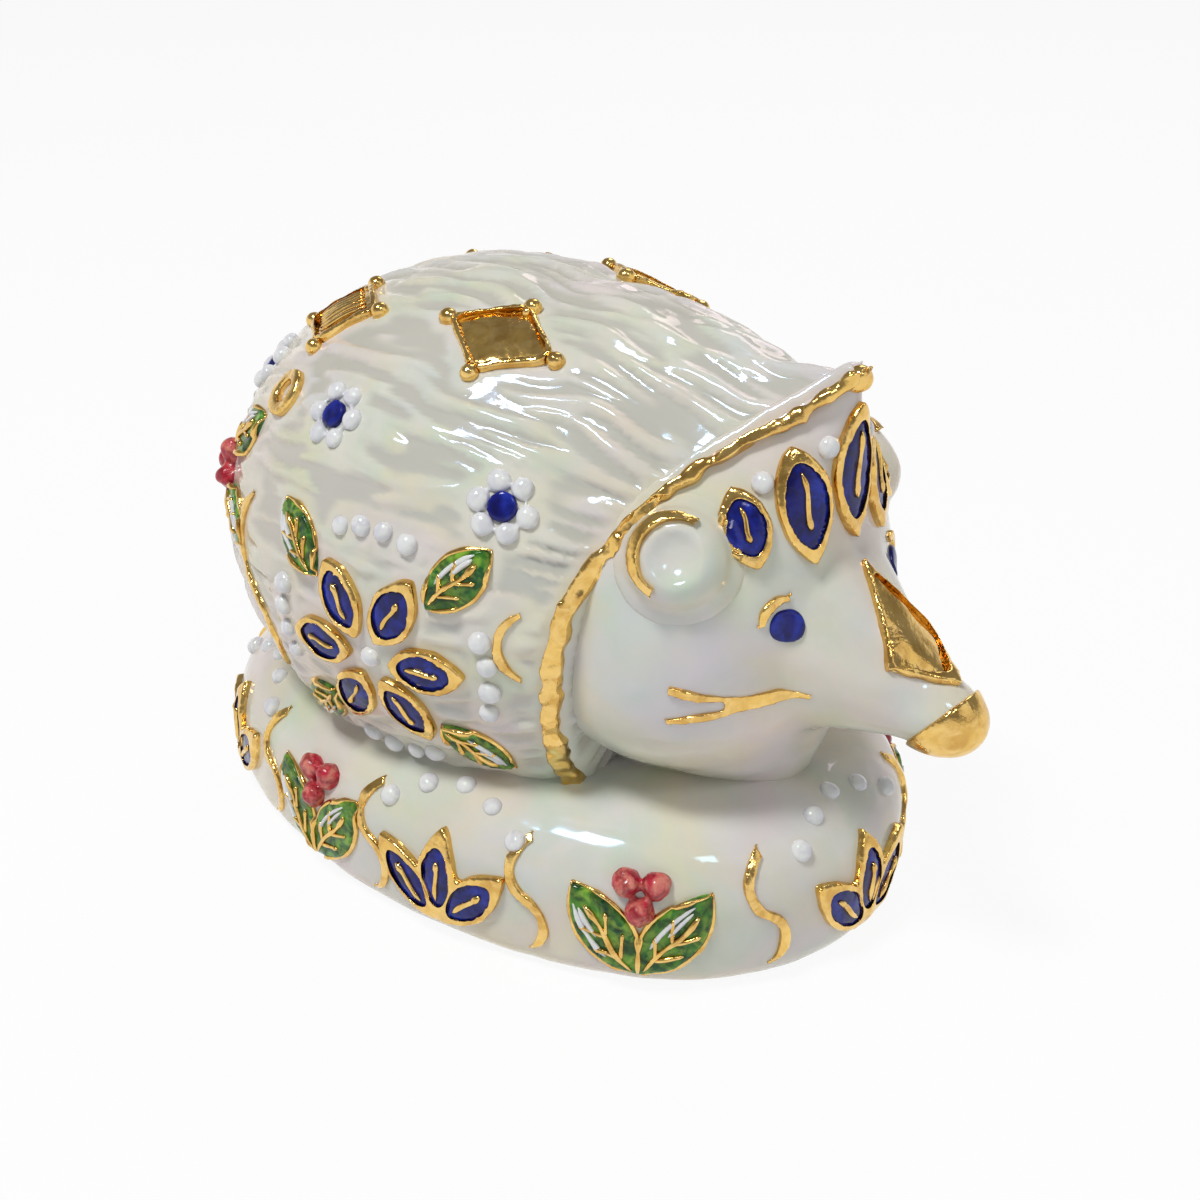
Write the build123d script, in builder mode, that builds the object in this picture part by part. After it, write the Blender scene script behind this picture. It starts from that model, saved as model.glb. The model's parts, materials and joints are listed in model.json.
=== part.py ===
from build123d import *

import os
from functools import cache
from math import cos, hypot, radians, sin

# A hedgehog figurine of glazed porcelain on an oval cushion-shaped plinth.
# Plinth, quilled mantle, head and ears are castings stuck together with slip.
# The mantle and the head are hollow and share one hollow space.
# Raised enamel, pearl drops and gilding lie on the glaze.
# The nose points along +X, the animal's left side along +Y, and the foot stands on Z = 0.

overrun = 5.0

# Plinth
plinth_length = 94.0
plinth_width = 65.0
plinth_height = 18.5
plinth_end_radius = 28.5
plinth_shoulder_radius = 9.0
plinth_heel_radius = 3.5
vent_diameter = 3.5

# Castings
wall_thickness = 3.5

# Quilled mantle: an egg lying along X, with a pointed hood over the face
mantle_length = 82.0
mantle_width = 65.2
mantle_end_radius = 27.0
mantle_setback = 5.0
mantle_height = 70.3
hood_start = -14.0
hood_reach = 58.0
hood_half_width = 22.0
hood_rise = 32.0
hood_station_shares = (0.0, 0.31, 0.57, 0.71, 0.845, 1.0)
hood_foot_width_shares = (0.45, 0.77, 0.97, 0.9, 0.64, 0.25)
hood_foot_height_shares = (0.35, 0.26, 0.2, 0.275, 0.4, 0.65)
hood_bow_width_shares = (0.34, 0.61, 0.7, 0.62, 0.4, 0.15)
hood_bow_height_shares = (0.76, 0.745, 0.71, 0.62, 0.69, 0.815)
hood_crest_shares = (0.93, 1.0, 0.99, 0.95, 0.91, 0.965)

# Quill line: the front edge of the mantle in side view, from the plinth up to the peak
quill_line_reach = 44.0
quill_line_height = 69.5
quill_line_reach_shares = (0.42, 0.46, 0.5, 0.55, 0.65, 0.79, 1.0)
quill_line_height_shares = (0.0, 0.29, 0.47, 0.67, 0.79, 0.88, 1.0)
quill_band_width = 1.7

# Head
head_back = 8.0
head_reach = 42.5
head_half_width = 22.6
head_bottom = 12.0
head_top = 66.0
head_height_shares = (0.0, 0.24, 0.41, 0.575, 0.7, 0.81, 0.91, 1.0)
head_reach_shares = (0.8, 0.93, 1.0, 1.0, 0.975, 0.96, 0.96, 0.97)
head_width_shares = (0.5, 0.82, 1.0, 0.97, 0.87, 0.66, 0.4, 0.15)

# Snout
snout_root_reach = 34.0
snout_root_height = 38.0
snout_root_radius = 15.5
nose_reach = 58.5
nose_height = 31.5
nose_radius = 4.3
nose_length = 6.0
snout_length_shares = (0.0, 0.33, 0.61, 0.87, 1.0)
snout_flare_shares = (1.0, 0.59, 0.31, 0.09, 0.0)
nose_gilding_length = 4.6
nose_gilding_tilt = 24.0

# Ears
ear_radius = 5.6
ear_dome = 5.0
ear_hollow_radius = 4.0
ear_sink = 1.2
ear_start_reach = 24.0
ear_start_height = 46.0
ear_yaw = 66.0
ear_pitch = 12.0

# Thickness of what lies on the glaze
enamel_height = 0.7
gilding_height = 0.5
rim_height = 0.9
rim_width = 1.1
line_width = 1.4
relief_reach = 9.0
panel_relief_reach = 5.0
pearl_radius = 1.25
bead_radius = 1.1
berry_radius = 1.6
berry_step_share = 1.2
proud_share = 0.25

# Face
eye_radius = 1.75
eye_yaw = 32.0
eye_height = 42.6
brow_radius = 3.0
brow_from = 75.0
brow_sweep = 105.0
mouth_start_reach = 34.0
mouth_corner_height = 34.5
mouth_yaw = 42.0
mouth_length = 15.0
mouth_spread = 4.0
mouth_bow_share = 0.35
panel_reach = 40.0
panel_height = 35.0
panel_pitch = 40.0
panel_top = 7.5
panel_half_width = 5.2
panel_side_drop = 3.5
panel_tip = 9.0
ear_arc_radius = 4.4
ear_arc_from = 60.0
ear_arc_sweep = 190.0

# Forehead lappets, from the middle outwards
lappet_start_reach = 24.0
lappet_yaws = (0.0, 23.0, 45.0)
lappet_root_heights = (64.5, 61.0, 57.5)
lappet_lengths = (15.0, 13.0, 9.0)
lappet_widths = (6.6, 6.4, 5.4)
lappet_leans = (-90.0, -82.0, -72.0)
forehead_pearl_yaws = (12.0, 38.0)
forehead_pearl_heights = (60.0, 57.0)

# Back ornament
lozenge_length = 15.0
lozenge_width = 11.5
lozenge_stations = (-21.0, 4.0)
lozenge_turns = (27.0, 25.0)
flower_radius = 2.9
flower_pearl_count = 6
flower_stations = (14.0, -10.0, -33.0)
flower_turns = (58.0, 52.0, 38.0)
boss_radius = 3.0
boss_hole_radius = 1.4
boss_station = -21.0
boss_turn = 50.0

# Flank ornament
flank_station = 1.0
flank_turn = 97.0
flank_petal_count = 6
flank_petal_root = 2.6
flank_petal_length = 9.4
flank_petal_width = 5.6
flank_leaf_count = 4
flank_leaf_root = 11.0
flank_leaf_length = 9.0
flank_leaf_width = 5.2
flank_pearl_ring = 14.6
flank_pearls_per_gap = 4
flank_pearl_step = 12.3
scroll_stations = (-22.0, 19.0)
scroll_turn = 97.0
scroll_lengths = (24.0, 16.0)
scroll_bow = 3.2

# Rump ornament
rump_station = -33.5
rump_turn = 72.0
rump_leaf_root = 3.8
rump_leaf_length = 9.0
rump_leaf_width = 5.4
rump_leaf_spread = 38.0

# Plinth frieze
frieze_height = 9.5
frieze_step = 36.0
frieze_half_count = 5
frieze_root = 7.0
fan_petal_length = 12.5
fan_petal_width = 5.2
fan_spread = 44.0
frieze_leaf_length = 13.0
frieze_leaf_width = 6.0
frieze_leaf_spread = 36.0
frieze_berry_lift = 3.4
frieze_scroll_length = 14.0
frieze_scroll_bow = 2.2
frieze_pearl_ring = 15.5
frieze_pearl_count = 5
frieze_pearl_step = 17.0

# Worked out from the sizes above
half_turn = 180.0
mantle_axis = mantle_height - mantle_width / 2
mantle_centre = Vector(-mantle_setback, 0, mantle_axis)
snout_root = Vector(snout_root_reach, 0, snout_root_height)
nose_tip = Vector(nose_reach, 0, nose_height)
snout_length = (nose_tip - snout_root).length
snout_heading = (nose_tip - snout_root).normalized()
upward = Vector(0, 0, 1)
forward = Vector(1, 0, 0)


def heading(yaw, pitch=0.0):
    """A unit direction: yaw in degrees from the nose towards the right side, and pitch upwards."""
    level = cos(radians(pitch))
    return Vector(cos(radians(yaw)) * level, -sin(radians(yaw)) * level, sin(radians(pitch)))


def oval_corner(half_length, half_width, end_radius):
    """Side radius of a four-arc oval, and the point where a side arc meets an end arc."""
    offset_along = half_length - end_radius
    side_radius = (offset_along**2 + half_width**2 - end_radius**2) / (2 * (half_width - end_radius))
    offset_across = side_radius - half_width
    reach = end_radius / hypot(offset_along, offset_across)
    return side_radius, offset_along * (1 + reach), offset_across * reach


@cache
def egg_form(growth=0.0):
    """The mantle's egg, all over thicker by the growth."""
    half_length = mantle_length / 2 + growth
    end_radius = mantle_end_radius + growth
    side_radius, corner_x, corner_y = oval_corner(half_length, mantle_width / 2 + growth, end_radius)
    with BuildPart() as egg:
        with BuildSketch(Plane(mantle_centre, x_dir=forward, z_dir=(0, -1, 0))):
            with BuildLine():
                RadiusArc((-half_length, 0), (-corner_x, corner_y), end_radius)
                RadiusArc((-corner_x, corner_y), (corner_x, corner_y), side_radius)
                RadiusArc((corner_x, corner_y), (half_length, 0), end_radius)
                Line((half_length, 0), (-half_length, 0))
            make_face()
        revolve(axis=Axis(mantle_centre, forward))
    return egg.part


@cache
def hood_form(growth=0.0):
    """The hood's pointed arches, lofted from inside the egg to past the peak."""
    with BuildPart() as hood:
        for station, foot_width, foot_height, bow_width, bow_height, crest in zip(
            hood_station_shares,
            hood_foot_width_shares,
            hood_foot_height_shares,
            hood_bow_width_shares,
            hood_bow_height_shares,
            hood_crest_shares,
        ):
            place = Vector(hood_start + station * hood_reach, 0, mantle_axis)
            foot = Vector(foot_width * hood_half_width + growth, foot_height * hood_rise)
            bow = Vector(bow_width * hood_half_width + growth, bow_height * hood_rise + growth)
            top = Vector(0, crest * hood_rise + growth)
            with BuildSketch(Plane(place, x_dir=(0, 1, 0), z_dir=forward)):
                with BuildLine():
                    ThreePointArc(foot, bow, top)
                    ThreePointArc(top, (-bow.X, bow.Y), (-foot.X, foot.Y))
                    Line((-foot.X, foot.Y), foot)
                make_face()
        loft()
    return hood.part


@cache
def quill_line_block(setback=0.0):
    """Everything behind the quill line, or behind a copy of it moved back."""
    line_points = [
        (reach * quill_line_reach - setback, height * quill_line_height)
        for reach, height in zip(quill_line_reach_shares, quill_line_height_shares)
    ]
    back = -mantle_length
    roof = mantle_height + overrun
    peak_x, peak_z = line_points[-1]
    with BuildPart() as block:
        with BuildSketch(Plane.XZ):
            with BuildLine():
                Spline(*line_points)
                Line((peak_x, peak_z), (peak_x + overrun, roof))
                Polyline((peak_x + overrun, roof), (back, roof), (back, 0), line_points[0])
            make_face()
        extrude(amount=mantle_width, both=True)
    return block.part


@cache
def mantle_form(growth=0.0):
    """Egg and hood together, ending at the quill line."""
    with BuildPart() as mantle:
        add(egg_form(growth))
        add(hood_form(growth))
        add(quill_line_block(), mode=Mode.INTERSECT)
    return mantle.part


@cache
def face_form(growth=0.0):
    """The head without its snout: level ovals from the chest up to the peak."""
    back = head_back - growth
    with BuildPart() as face:
        for height, reach, width in zip(head_height_shares, head_reach_shares, head_width_shares):
            front = reach * head_reach + growth
            level = head_bottom + height * (head_top - head_bottom)
            with BuildSketch(Plane.XY.offset(level)):
                with Locations(((front + back) / 2, 0)):
                    Ellipse((front - back) / 2, width * head_half_width + growth)
        loft()
    return face.part


@cache
def snout_form(growth=0.0):
    """The trumpet-shaped snout, turned about its own axis, with a round nose."""
    bridge_length = snout_length - nose_length
    flare = snout_root_radius - nose_radius
    profile = [
        (along * bridge_length, nose_radius + share * flare + growth)
        for along, share in zip(snout_length_shares, snout_flare_shares)
    ]
    tip = (snout_length + growth, 0)
    with BuildPart() as snout:
        with BuildSketch(Plane(snout_root, x_dir=snout_heading, z_dir=(0, -1, 0))):
            with BuildLine():
                Spline(*profile, tangents=((1, -1), (1, 0)), tangent_scalars=(1, 1))
                EllipticalCenterArc((bridge_length, 0), nose_length + growth, nose_radius + growth)
                Polyline(tip, (0, 0), profile[0])
            make_face()
        revolve(axis=Axis(snout_root, snout_heading))
    return snout.part


@cache
def head_form(growth=0.0):
    """Head and snout together, whole at the back."""
    with BuildPart() as head:
        add(face_form(growth))
        add(snout_form(growth))
    return head.part


@cache
def plinth_form(growth=0.0):
    """The cushion-shaped oval plinth."""
    half_length = plinth_length / 2 + growth
    end_radius = plinth_end_radius + growth
    side_radius, corner_x, corner_y = oval_corner(half_length, plinth_width / 2 + growth, end_radius)
    with BuildPart() as plinth:
        with BuildSketch():
            with BuildLine():
                RadiusArc((corner_x, -corner_y), (corner_x, corner_y), -end_radius)
                RadiusArc((corner_x, corner_y), (-corner_x, corner_y), -side_radius)
                RadiusArc((-corner_x, corner_y), (-corner_x, -corner_y), -end_radius)
                RadiusArc((-corner_x, -corner_y), (corner_x, -corner_y), -side_radius)
            make_face()
        extrude(amount=plinth_height + growth)
        fillet(plinth.faces().sort_by(Axis.Z)[-1].edges(), plinth_shoulder_radius + growth)
        fillet(plinth.faces().sort_by(Axis.Z)[0].edges(), plinth_heel_radius + growth)
    return plinth.part


def seat(form, start, direction, across):
    """The plane that touches a form where a ray leaves it, with its X axis near the across direction."""
    hits = form.find_intersection_points(Axis(start, direction))
    point, normal = max(hits, key=lambda hit: (hit[0] - start).dot(direction))
    return Plane(point, x_dir=across - normal * across.dot(normal), z_dir=normal)


def mantle_seat(station, turn):
    """A seat on the mantle: the station along X, and degrees from the top down the right side."""
    start = Vector(station, 0, mantle_axis)
    return seat(mantle_form(), start, Vector(0, -sin(radians(turn)), cos(radians(turn))), forward)


def face_seat(reach, height, yaw, pitch=0.0):
    """A seat on the head: the ray's start above the midline, its yaw and its pitch."""
    direction = heading(yaw, pitch)
    return seat(head_form(), Vector(reach, 0, height), direction, upward.cross(direction))


def frieze_seat(yaw):
    """A seat on the plinth's wall, at the frieze's height."""
    direction = heading(yaw)
    return seat(plinth_form(), Vector(0, 0, frieze_height), direction, upward.cross(direction))


def lay(form, plane, places):
    """The points of a form's surface above or below flat places on a seat."""
    points = []
    for along, across in places:
        start = plane.from_local_coords((along, across, 0))
        hits = form.find_intersection_points(Axis(start, plane.z_dir))
        points.append(min((hit[0] for hit in hits), key=lambda hit: (hit - start).length))
    return points


def polar(radius, angle):
    """A flat point at a radius, and at an angle in degrees."""
    return Vector(radius * cos(radians(angle)), radius * sin(radians(angle)))


def relief(form, height, plane, draw, reach=relief_reach):
    """What lies on a form, as thick as the height, inside the outline that is drawn on the plane."""
    with BuildPart() as piece:
        with BuildSketch(plane):
            draw()
        extrude(amount=reach, both=True)
        add(form(height), mode=Mode.INTERSECT)
        add(form(), mode=Mode.SUBTRACT)
    return piece.part


def drops(form, points, radius, normal):
    """Round drops that stand on a form at the given points."""
    centres = [point + normal * (radius * proud_share) for point in points]
    with BuildPart() as piece:
        with Locations(*[Plane(centre, z_dir=normal) for centre in centres]):
            Sphere(radius)
        add(form, mode=Mode.SUBTRACT)
    return piece.part


def leaf(root, angle, length, width, inset=0.0, mode=Mode.ADD):
    """Draw a leaf, pointed at both ends, or a smaller one inside it."""
    along = polar(1, angle)
    side = polar(width / 2 - inset, angle + half_turn / 2)
    point_inset = inset * length / width
    first = root + along * point_inset
    last = root + along * (length - point_inset)
    middle = root + along * (length / 2)
    with BuildLine() as outline:
        ThreePointArc(first, middle + side, last)
        ThreePointArc(last, middle - side, first)
    return make_face(outline.edges(), mode=mode)


def leaf_rim(root, angle, length, width):
    """Draw a leaf's outline as a line of the rim's width."""
    leaf(root, angle, length, width)
    leaf(root, angle, length, width, rim_width, Mode.SUBTRACT)


def rhombus(length, width, inset=0.0, mode=Mode.ADD):
    """Draw a rhombus with its long diagonal along X, or a smaller one inside it."""
    shrink = inset * hypot(length, width)
    half_length = (length - 2 * shrink / width) / 2
    half_width = (width - 2 * shrink / length) / 2
    with BuildLine() as outline:
        Polyline((half_length, 0), (0, half_width), (-half_length, 0), (0, -half_width), close=True)
    return make_face(outline.edges(), mode=mode)


def stroke(start, middle, end, width=line_width):
    """Draw a bowed line through three points."""
    with BuildLine(mode=Mode.PRIVATE) as route:
        ThreePointArc(start, middle, end)
    trace(route.line, width)


def scroll(length, bow):
    """Draw an upright S-shaped line."""
    quarter = length / 4
    stroke((0, -2 * quarter), (bow, -quarter), (0, 0))
    stroke((0, 0), (-bow, quarter), (0, 2 * quarter))


def write(piece, name):
    """Label a finished piece and write it."""
    piece.part.label = name
    export_step(piece.part, f"parts/{name}.step")


os.makedirs("parts", exist_ok=True)

# Castings

with BuildPart() as base_plinth:
    add(plinth_form())
    with Locations((mantle_centre.X, 0, 0)):
        Cylinder(
            vent_diameter / 2,
            plinth_height,
            align=(Align.CENTER, Align.CENTER, Align.MIN),
            mode=Mode.SUBTRACT,
        )
    add(mantle_form(), mode=Mode.SUBTRACT)
    add(face_form(), mode=Mode.SUBTRACT)
write(base_plinth, "base_plinth")

with BuildPart() as body_mantle:
    add(mantle_form())
    add(egg_form(-wall_thickness), mode=Mode.SUBTRACT)
    with Locations((mantle_centre.X, 0, 0)):
        Cylinder(
            vent_diameter / 2,
            plinth_height,
            align=(Align.CENTER, Align.CENTER, Align.MIN),
            mode=Mode.SUBTRACT,
        )
write(body_mantle, "body_mantle")

with BuildPart() as head_face:
    add(head_form())
    add(quill_line_block(), mode=Mode.SUBTRACT)
    add(egg_form(-wall_thickness), mode=Mode.SUBTRACT)
write(head_face, "head_face")

ear_plane = face_seat(ear_start_reach, ear_start_height, ear_yaw, ear_pitch).offset(-ear_sink)
with BuildPart() as ear_right:
    with BuildSketch(Plane(ear_plane.origin, x_dir=ear_plane.x_dir, z_dir=-ear_plane.y_dir)):
        with BuildLine():
            EllipticalCenterArc((0, 0), ear_radius, ear_dome)
            Polyline((0, ear_dome), (0, 0), (ear_radius, 0))
        make_face()
    revolve(axis=Axis(ear_plane.origin, ear_plane.z_dir))
    with Locations(ear_plane.offset(ear_dome + ear_hollow_radius / 2)):
        Sphere(ear_hollow_radius, mode=Mode.SUBTRACT)
    add(head_face.part, mode=Mode.SUBTRACT)
    add(mantle_form(), mode=Mode.SUBTRACT)
write(ear_right, "ear_right")

with BuildPart() as ear_left:
    mirror(ear_right.part, about=Plane.XZ)
write(ear_left, "ear_left")

with BuildPart() as quill_edge_gilding:
    add(mantle_form(rim_height))
    add(mantle_form(), mode=Mode.SUBTRACT)
    add(quill_line_block(quill_band_width), mode=Mode.SUBTRACT)
    add(plinth_form(), mode=Mode.SUBTRACT)
    add(face_form(), mode=Mode.SUBTRACT)
    add(ear_right.part, mode=Mode.SUBTRACT)
    add(ear_left.part, mode=Mode.SUBTRACT)
write(quill_edge_gilding, "quill_edge_gilding")

# Face

with BuildPart() as nose_gilding:
    nose_centre = nose_tip - snout_heading * nose_length
    with BuildSketch(Plane(nose_centre, x_dir=snout_heading, z_dir=(0, -1, 0))):
        with BuildLine():
            EllipticalCenterArc((0, 0), nose_length + gilding_height, nose_radius + gilding_height)
            Line((0, nose_radius + gilding_height), (0, nose_radius))
            EllipticalCenterArc((0, 0), nose_length, nose_radius)
            Line((nose_length, 0), (nose_length + gilding_height, 0))
        make_face()
    revolve(axis=Axis(nose_centre, snout_heading))
    edge_place = nose_tip - snout_heading * nose_gilding_length
    with BuildSketch(Plane(edge_place, z_dir=snout_heading.rotate(Axis.Y, nose_gilding_tilt))):
        Circle(snout_root_radius)
    extrude(amount=snout_length, mode=Mode.INTERSECT)
write(nose_gilding, "nose_gilding")

panel_plane = face_seat(panel_reach, panel_height, 0, panel_pitch)


def kite(inset=0.0, mode=Mode.ADD):
    """Draw the four-cornered panel on the bridge of the snout, or a smaller one inside it."""
    with BuildLine() as outline:
        Polyline(
            (0, panel_top - 2 * inset),
            (panel_half_width - inset, -panel_side_drop),
            (0, 2 * inset - panel_tip),
            (inset - panel_half_width, -panel_side_drop),
            close=True,
        )
    return make_face(outline.edges(), mode=mode)


def kite_rim():
    """Draw the panel's outline as a line of the rim's width."""
    kite()
    kite(rim_width, Mode.SUBTRACT)


with BuildPart() as snout_panel:
    add(relief(head_form, gilding_height, panel_plane, lambda: kite(rim_width), panel_relief_reach))
write(snout_panel, "snout_panel")

with BuildPart() as snout_panel_rim:
    add(relief(head_form, rim_height, panel_plane, kite_rim, panel_relief_reach))
write(snout_panel_rim, "snout_panel_rim")

eye_plane = face_seat(lappet_start_reach, eye_height, eye_yaw)
with BuildPart() as eye_right:
    add(relief(head_form, gilding_height, eye_plane, lambda: Circle(eye_radius)))
write(eye_right, "eye_right")

with BuildPart() as brow_line_right:
    brow_points = [polar(brow_radius, brow_from + brow_sweep * step / 2) for step in range(3)]
    add(relief(head_form, gilding_height, eye_plane, lambda: stroke(*brow_points)))
write(brow_line_right, "brow_line_right")

mouth_plane = face_seat(mouth_start_reach, mouth_corner_height, mouth_yaw)
with BuildPart() as mouth_line_right:
    for lift in (mouth_spread / 2, -mouth_spread / 2):
        mouth_end = Vector(-mouth_length, lift)
        mouth_bow = Vector(-mouth_length / 2, lift * mouth_bow_share)
        add(relief(head_form, gilding_height, mouth_plane, lambda: stroke((0, 0), mouth_bow, mouth_end)))
write(mouth_line_right, "mouth_line_right")


@cache
def ear_form(growth=0.0):
    """The ear's dome, all over thicker by the growth."""
    with BuildPart() as ear:
        with BuildSketch(Plane(ear_plane.origin, x_dir=ear_plane.x_dir, z_dir=-ear_plane.y_dir)):
            with BuildLine():
                EllipticalCenterArc((0, 0), ear_radius + growth, ear_dome + growth)
                Polyline((0, ear_dome + growth), (0, 0), (ear_radius + growth, 0))
            make_face()
        revolve(axis=Axis(ear_plane.origin, ear_plane.z_dir))
    return ear.part


with BuildPart() as ear_arc_right:
    arc_points = [polar(ear_arc_radius, ear_arc_from + ear_arc_sweep * step / 2) for step in range(3)]
    add(relief(ear_form, rim_height, ear_plane, lambda: stroke(*arc_points)))
    add(head_face.part, mode=Mode.SUBTRACT)
    add(ear_right.part, mode=Mode.SUBTRACT)
    add(mantle_form(), mode=Mode.SUBTRACT)
    add(quill_edge_gilding.part, mode=Mode.SUBTRACT)
write(ear_arc_right, "ear_arc_right")

for right_piece, left_name in (
    (eye_right, "eye_left"),
    (brow_line_right, "brow_line_left"),
    (mouth_line_right, "mouth_line_left"),
    (ear_arc_right, "ear_arc_left"),
):
    with BuildPart() as left_piece:
        mirror(right_piece.part, about=Plane.XZ)
    write(left_piece, left_name)

lappet_planes = [
    face_seat(lappet_start_reach, height - length / 2, yaw)
    for yaw, height, length in zip(lappet_yaws, lappet_root_heights, lappet_lengths)
]
lappet_sizes = list(zip(lappet_planes, lappet_leans, lappet_lengths, lappet_widths))

with BuildPart() as forehead_lappets:
    for plane, lean, length, width in lappet_sizes:
        root = polar(-length / 2, lean)
        add(relief(head_form, enamel_height, plane, lambda: leaf(root, lean, length, width, rim_width)))
    add(quill_line_block(), mode=Mode.SUBTRACT)
    add(ear_right.part, mode=Mode.SUBTRACT)
    mirror(about=Plane.XZ)
write(forehead_lappets, "forehead_lappets")

with BuildPart() as forehead_lappet_rims:
    for plane, lean, length, width in lappet_sizes:
        root = polar(-length / 2, lean)
        add(relief(head_form, rim_height, plane, lambda: leaf_rim(root, lean, length, width)))
    add(quill_line_block(), mode=Mode.SUBTRACT)
    add(ear_right.part, mode=Mode.SUBTRACT)
    mirror(about=Plane.XZ)
write(forehead_lappet_rims, "forehead_lappet_rims")

with BuildPart() as forehead_pearls:
    for yaw, height in zip(forehead_pearl_yaws, forehead_pearl_heights):
        pearl_plane = face_seat(lappet_start_reach, height, yaw)
        add(drops(head_form(), [pearl_plane.origin], pearl_radius, pearl_plane.z_dir))
    add(quill_line_block(), mode=Mode.SUBTRACT)
    mirror(about=Plane.XZ)
    add(forehead_lappet_rims.part, mode=Mode.SUBTRACT)
write(forehead_pearls, "forehead_pearls")

# Back

lozenge_planes = [mantle_seat(station, turn) for station, turn in zip(lozenge_stations, lozenge_turns)]
lozenge_corners = [
    (lozenge_length / 2, 0),
    (-lozenge_length / 2, 0),
    (0, lozenge_width / 2),
    (0, -lozenge_width / 2),
]


def lozenge():
    """Draw a lozenge inside its rim."""
    rhombus(lozenge_length, lozenge_width, rim_width)


def rhombus_rim():
    """Draw a lozenge's outline as a line of the rim's width."""
    rhombus(lozenge_length, lozenge_width)
    rhombus(lozenge_length, lozenge_width, rim_width, Mode.SUBTRACT)


with BuildPart() as back_lozenges:
    for plane in lozenge_planes:
        add(relief(mantle_form, gilding_height, plane, lozenge))
    mirror(about=Plane.XZ)
write(back_lozenges, "back_lozenges")

with BuildPart() as back_lozenge_beads:
    for plane in lozenge_planes:
        add(drops(mantle_form(), lay(mantle_form(), plane, lozenge_corners), bead_radius, plane.z_dir))
    mirror(about=Plane.XZ)
write(back_lozenge_beads, "back_lozenge_beads")

with BuildPart() as back_lozenge_rims:
    for plane in lozenge_planes:
        add(relief(mantle_form, rim_height, plane, rhombus_rim))
    mirror(about=Plane.XZ)
    add(back_lozenge_beads.part, mode=Mode.SUBTRACT)
write(back_lozenge_rims, "back_lozenge_rims")

flower_planes = [mantle_seat(station, turn) for station, turn in zip(flower_stations, flower_turns)]
flower_places = [polar(flower_radius, 360 * step / flower_pearl_count) for step in range(flower_pearl_count)]

with BuildPart() as back_flower_pearls:
    for plane in flower_planes:
        points = lay(mantle_form(), plane, [(place.X, place.Y) for place in flower_places])
        add(drops(mantle_form(), points, pearl_radius, plane.z_dir))
    mirror(about=Plane.XZ)
write(back_flower_pearls, "back_flower_pearls")

with BuildPart() as back_flower_centres:
    for plane in flower_planes:
        add(relief(mantle_form, enamel_height, plane, lambda: Circle(flower_radius - pearl_radius)))
    mirror(about=Plane.XZ)
    add(back_flower_pearls.part, mode=Mode.SUBTRACT)
write(back_flower_centres, "back_flower_centres")


def boss_ring():
    """Draw the boss as a flat ring."""
    Circle(boss_radius)
    Circle(boss_hole_radius, mode=Mode.SUBTRACT)


with BuildPart() as back_bosses:
    add(relief(egg_form, rim_height, mantle_seat(boss_station, boss_turn), boss_ring))
    mirror(about=Plane.XZ)
write(back_bosses, "back_bosses")

# Flanks and rump

flank_plane = mantle_seat(flank_station, flank_turn)
petal_angles = [360 * step / flank_petal_count for step in range(flank_petal_count)]
leaf_angles = [360 * (step + 0.5) / flank_leaf_count for step in range(flank_leaf_count)]


def flank_petal_outlines():
    """Draw the rosette's petals inside their rims."""
    for angle in petal_angles:
        root = polar(flank_petal_root, angle)
        leaf(root, angle, flank_petal_length, flank_petal_width, rim_width)


def flank_petal_rim_outlines():
    """Draw the rims of the rosette's petals."""
    for angle in petal_angles:
        leaf_rim(polar(flank_petal_root, angle), angle, flank_petal_length, flank_petal_width)


def flank_leaf_outlines():
    """Draw the leaves that stand out from the rosette's corners."""
    for angle in leaf_angles:
        leaf(polar(flank_leaf_root, angle), angle, flank_leaf_length, flank_leaf_width)


with BuildPart() as flank_petals:
    add(relief(egg_form, enamel_height, flank_plane, flank_petal_outlines))
    mirror(about=Plane.XZ)
write(flank_petals, "flank_petals")

with BuildPart() as flank_petal_rims:
    add(relief(egg_form, rim_height, flank_plane, flank_petal_rim_outlines))
    mirror(about=Plane.XZ)
write(flank_petal_rims, "flank_petal_rims")

with BuildPart() as flank_leaves:
    add(relief(egg_form, enamel_height, flank_plane, flank_leaf_outlines))
    mirror(about=Plane.XZ)
write(flank_leaves, "flank_leaves")

with BuildPart() as flank_pearls:
    pearl_places = [Vector(0, 0)]
    for gap in range(flank_leaf_count):
        for step in range(flank_pearls_per_gap):
            swing = (step - (flank_pearls_per_gap - 1) / 2) * flank_pearl_step
            pearl_places.append(polar(flank_pearl_ring, 360 * gap / flank_leaf_count + swing))
    points = lay(egg_form(), flank_plane, [(place.X, place.Y) for place in pearl_places])
    add(drops(egg_form(), points, pearl_radius, flank_plane.z_dir))
    mirror(about=Plane.XZ)
write(flank_pearls, "flank_pearls")

with BuildPart() as flank_scrolls:
    for station, length in zip(scroll_stations, scroll_lengths):
        plane = mantle_seat(station, scroll_turn)
        add(relief(egg_form, gilding_height, plane, lambda: scroll(length, scroll_bow)))
    add(quill_line_block(2 * quill_band_width), mode=Mode.INTERSECT)
    mirror(about=Plane.XZ)
    add(flank_pearls.part, mode=Mode.SUBTRACT)
write(flank_scrolls, "flank_scrolls")

rump_plane = mantle_seat(rump_station, rump_turn)


def rump_leaf_outlines():
    """Draw two leaves that part from one root."""
    for swing in (rump_leaf_spread, -rump_leaf_spread):
        leaf(polar(rump_leaf_root, swing), swing, rump_leaf_length, rump_leaf_width)


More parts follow.
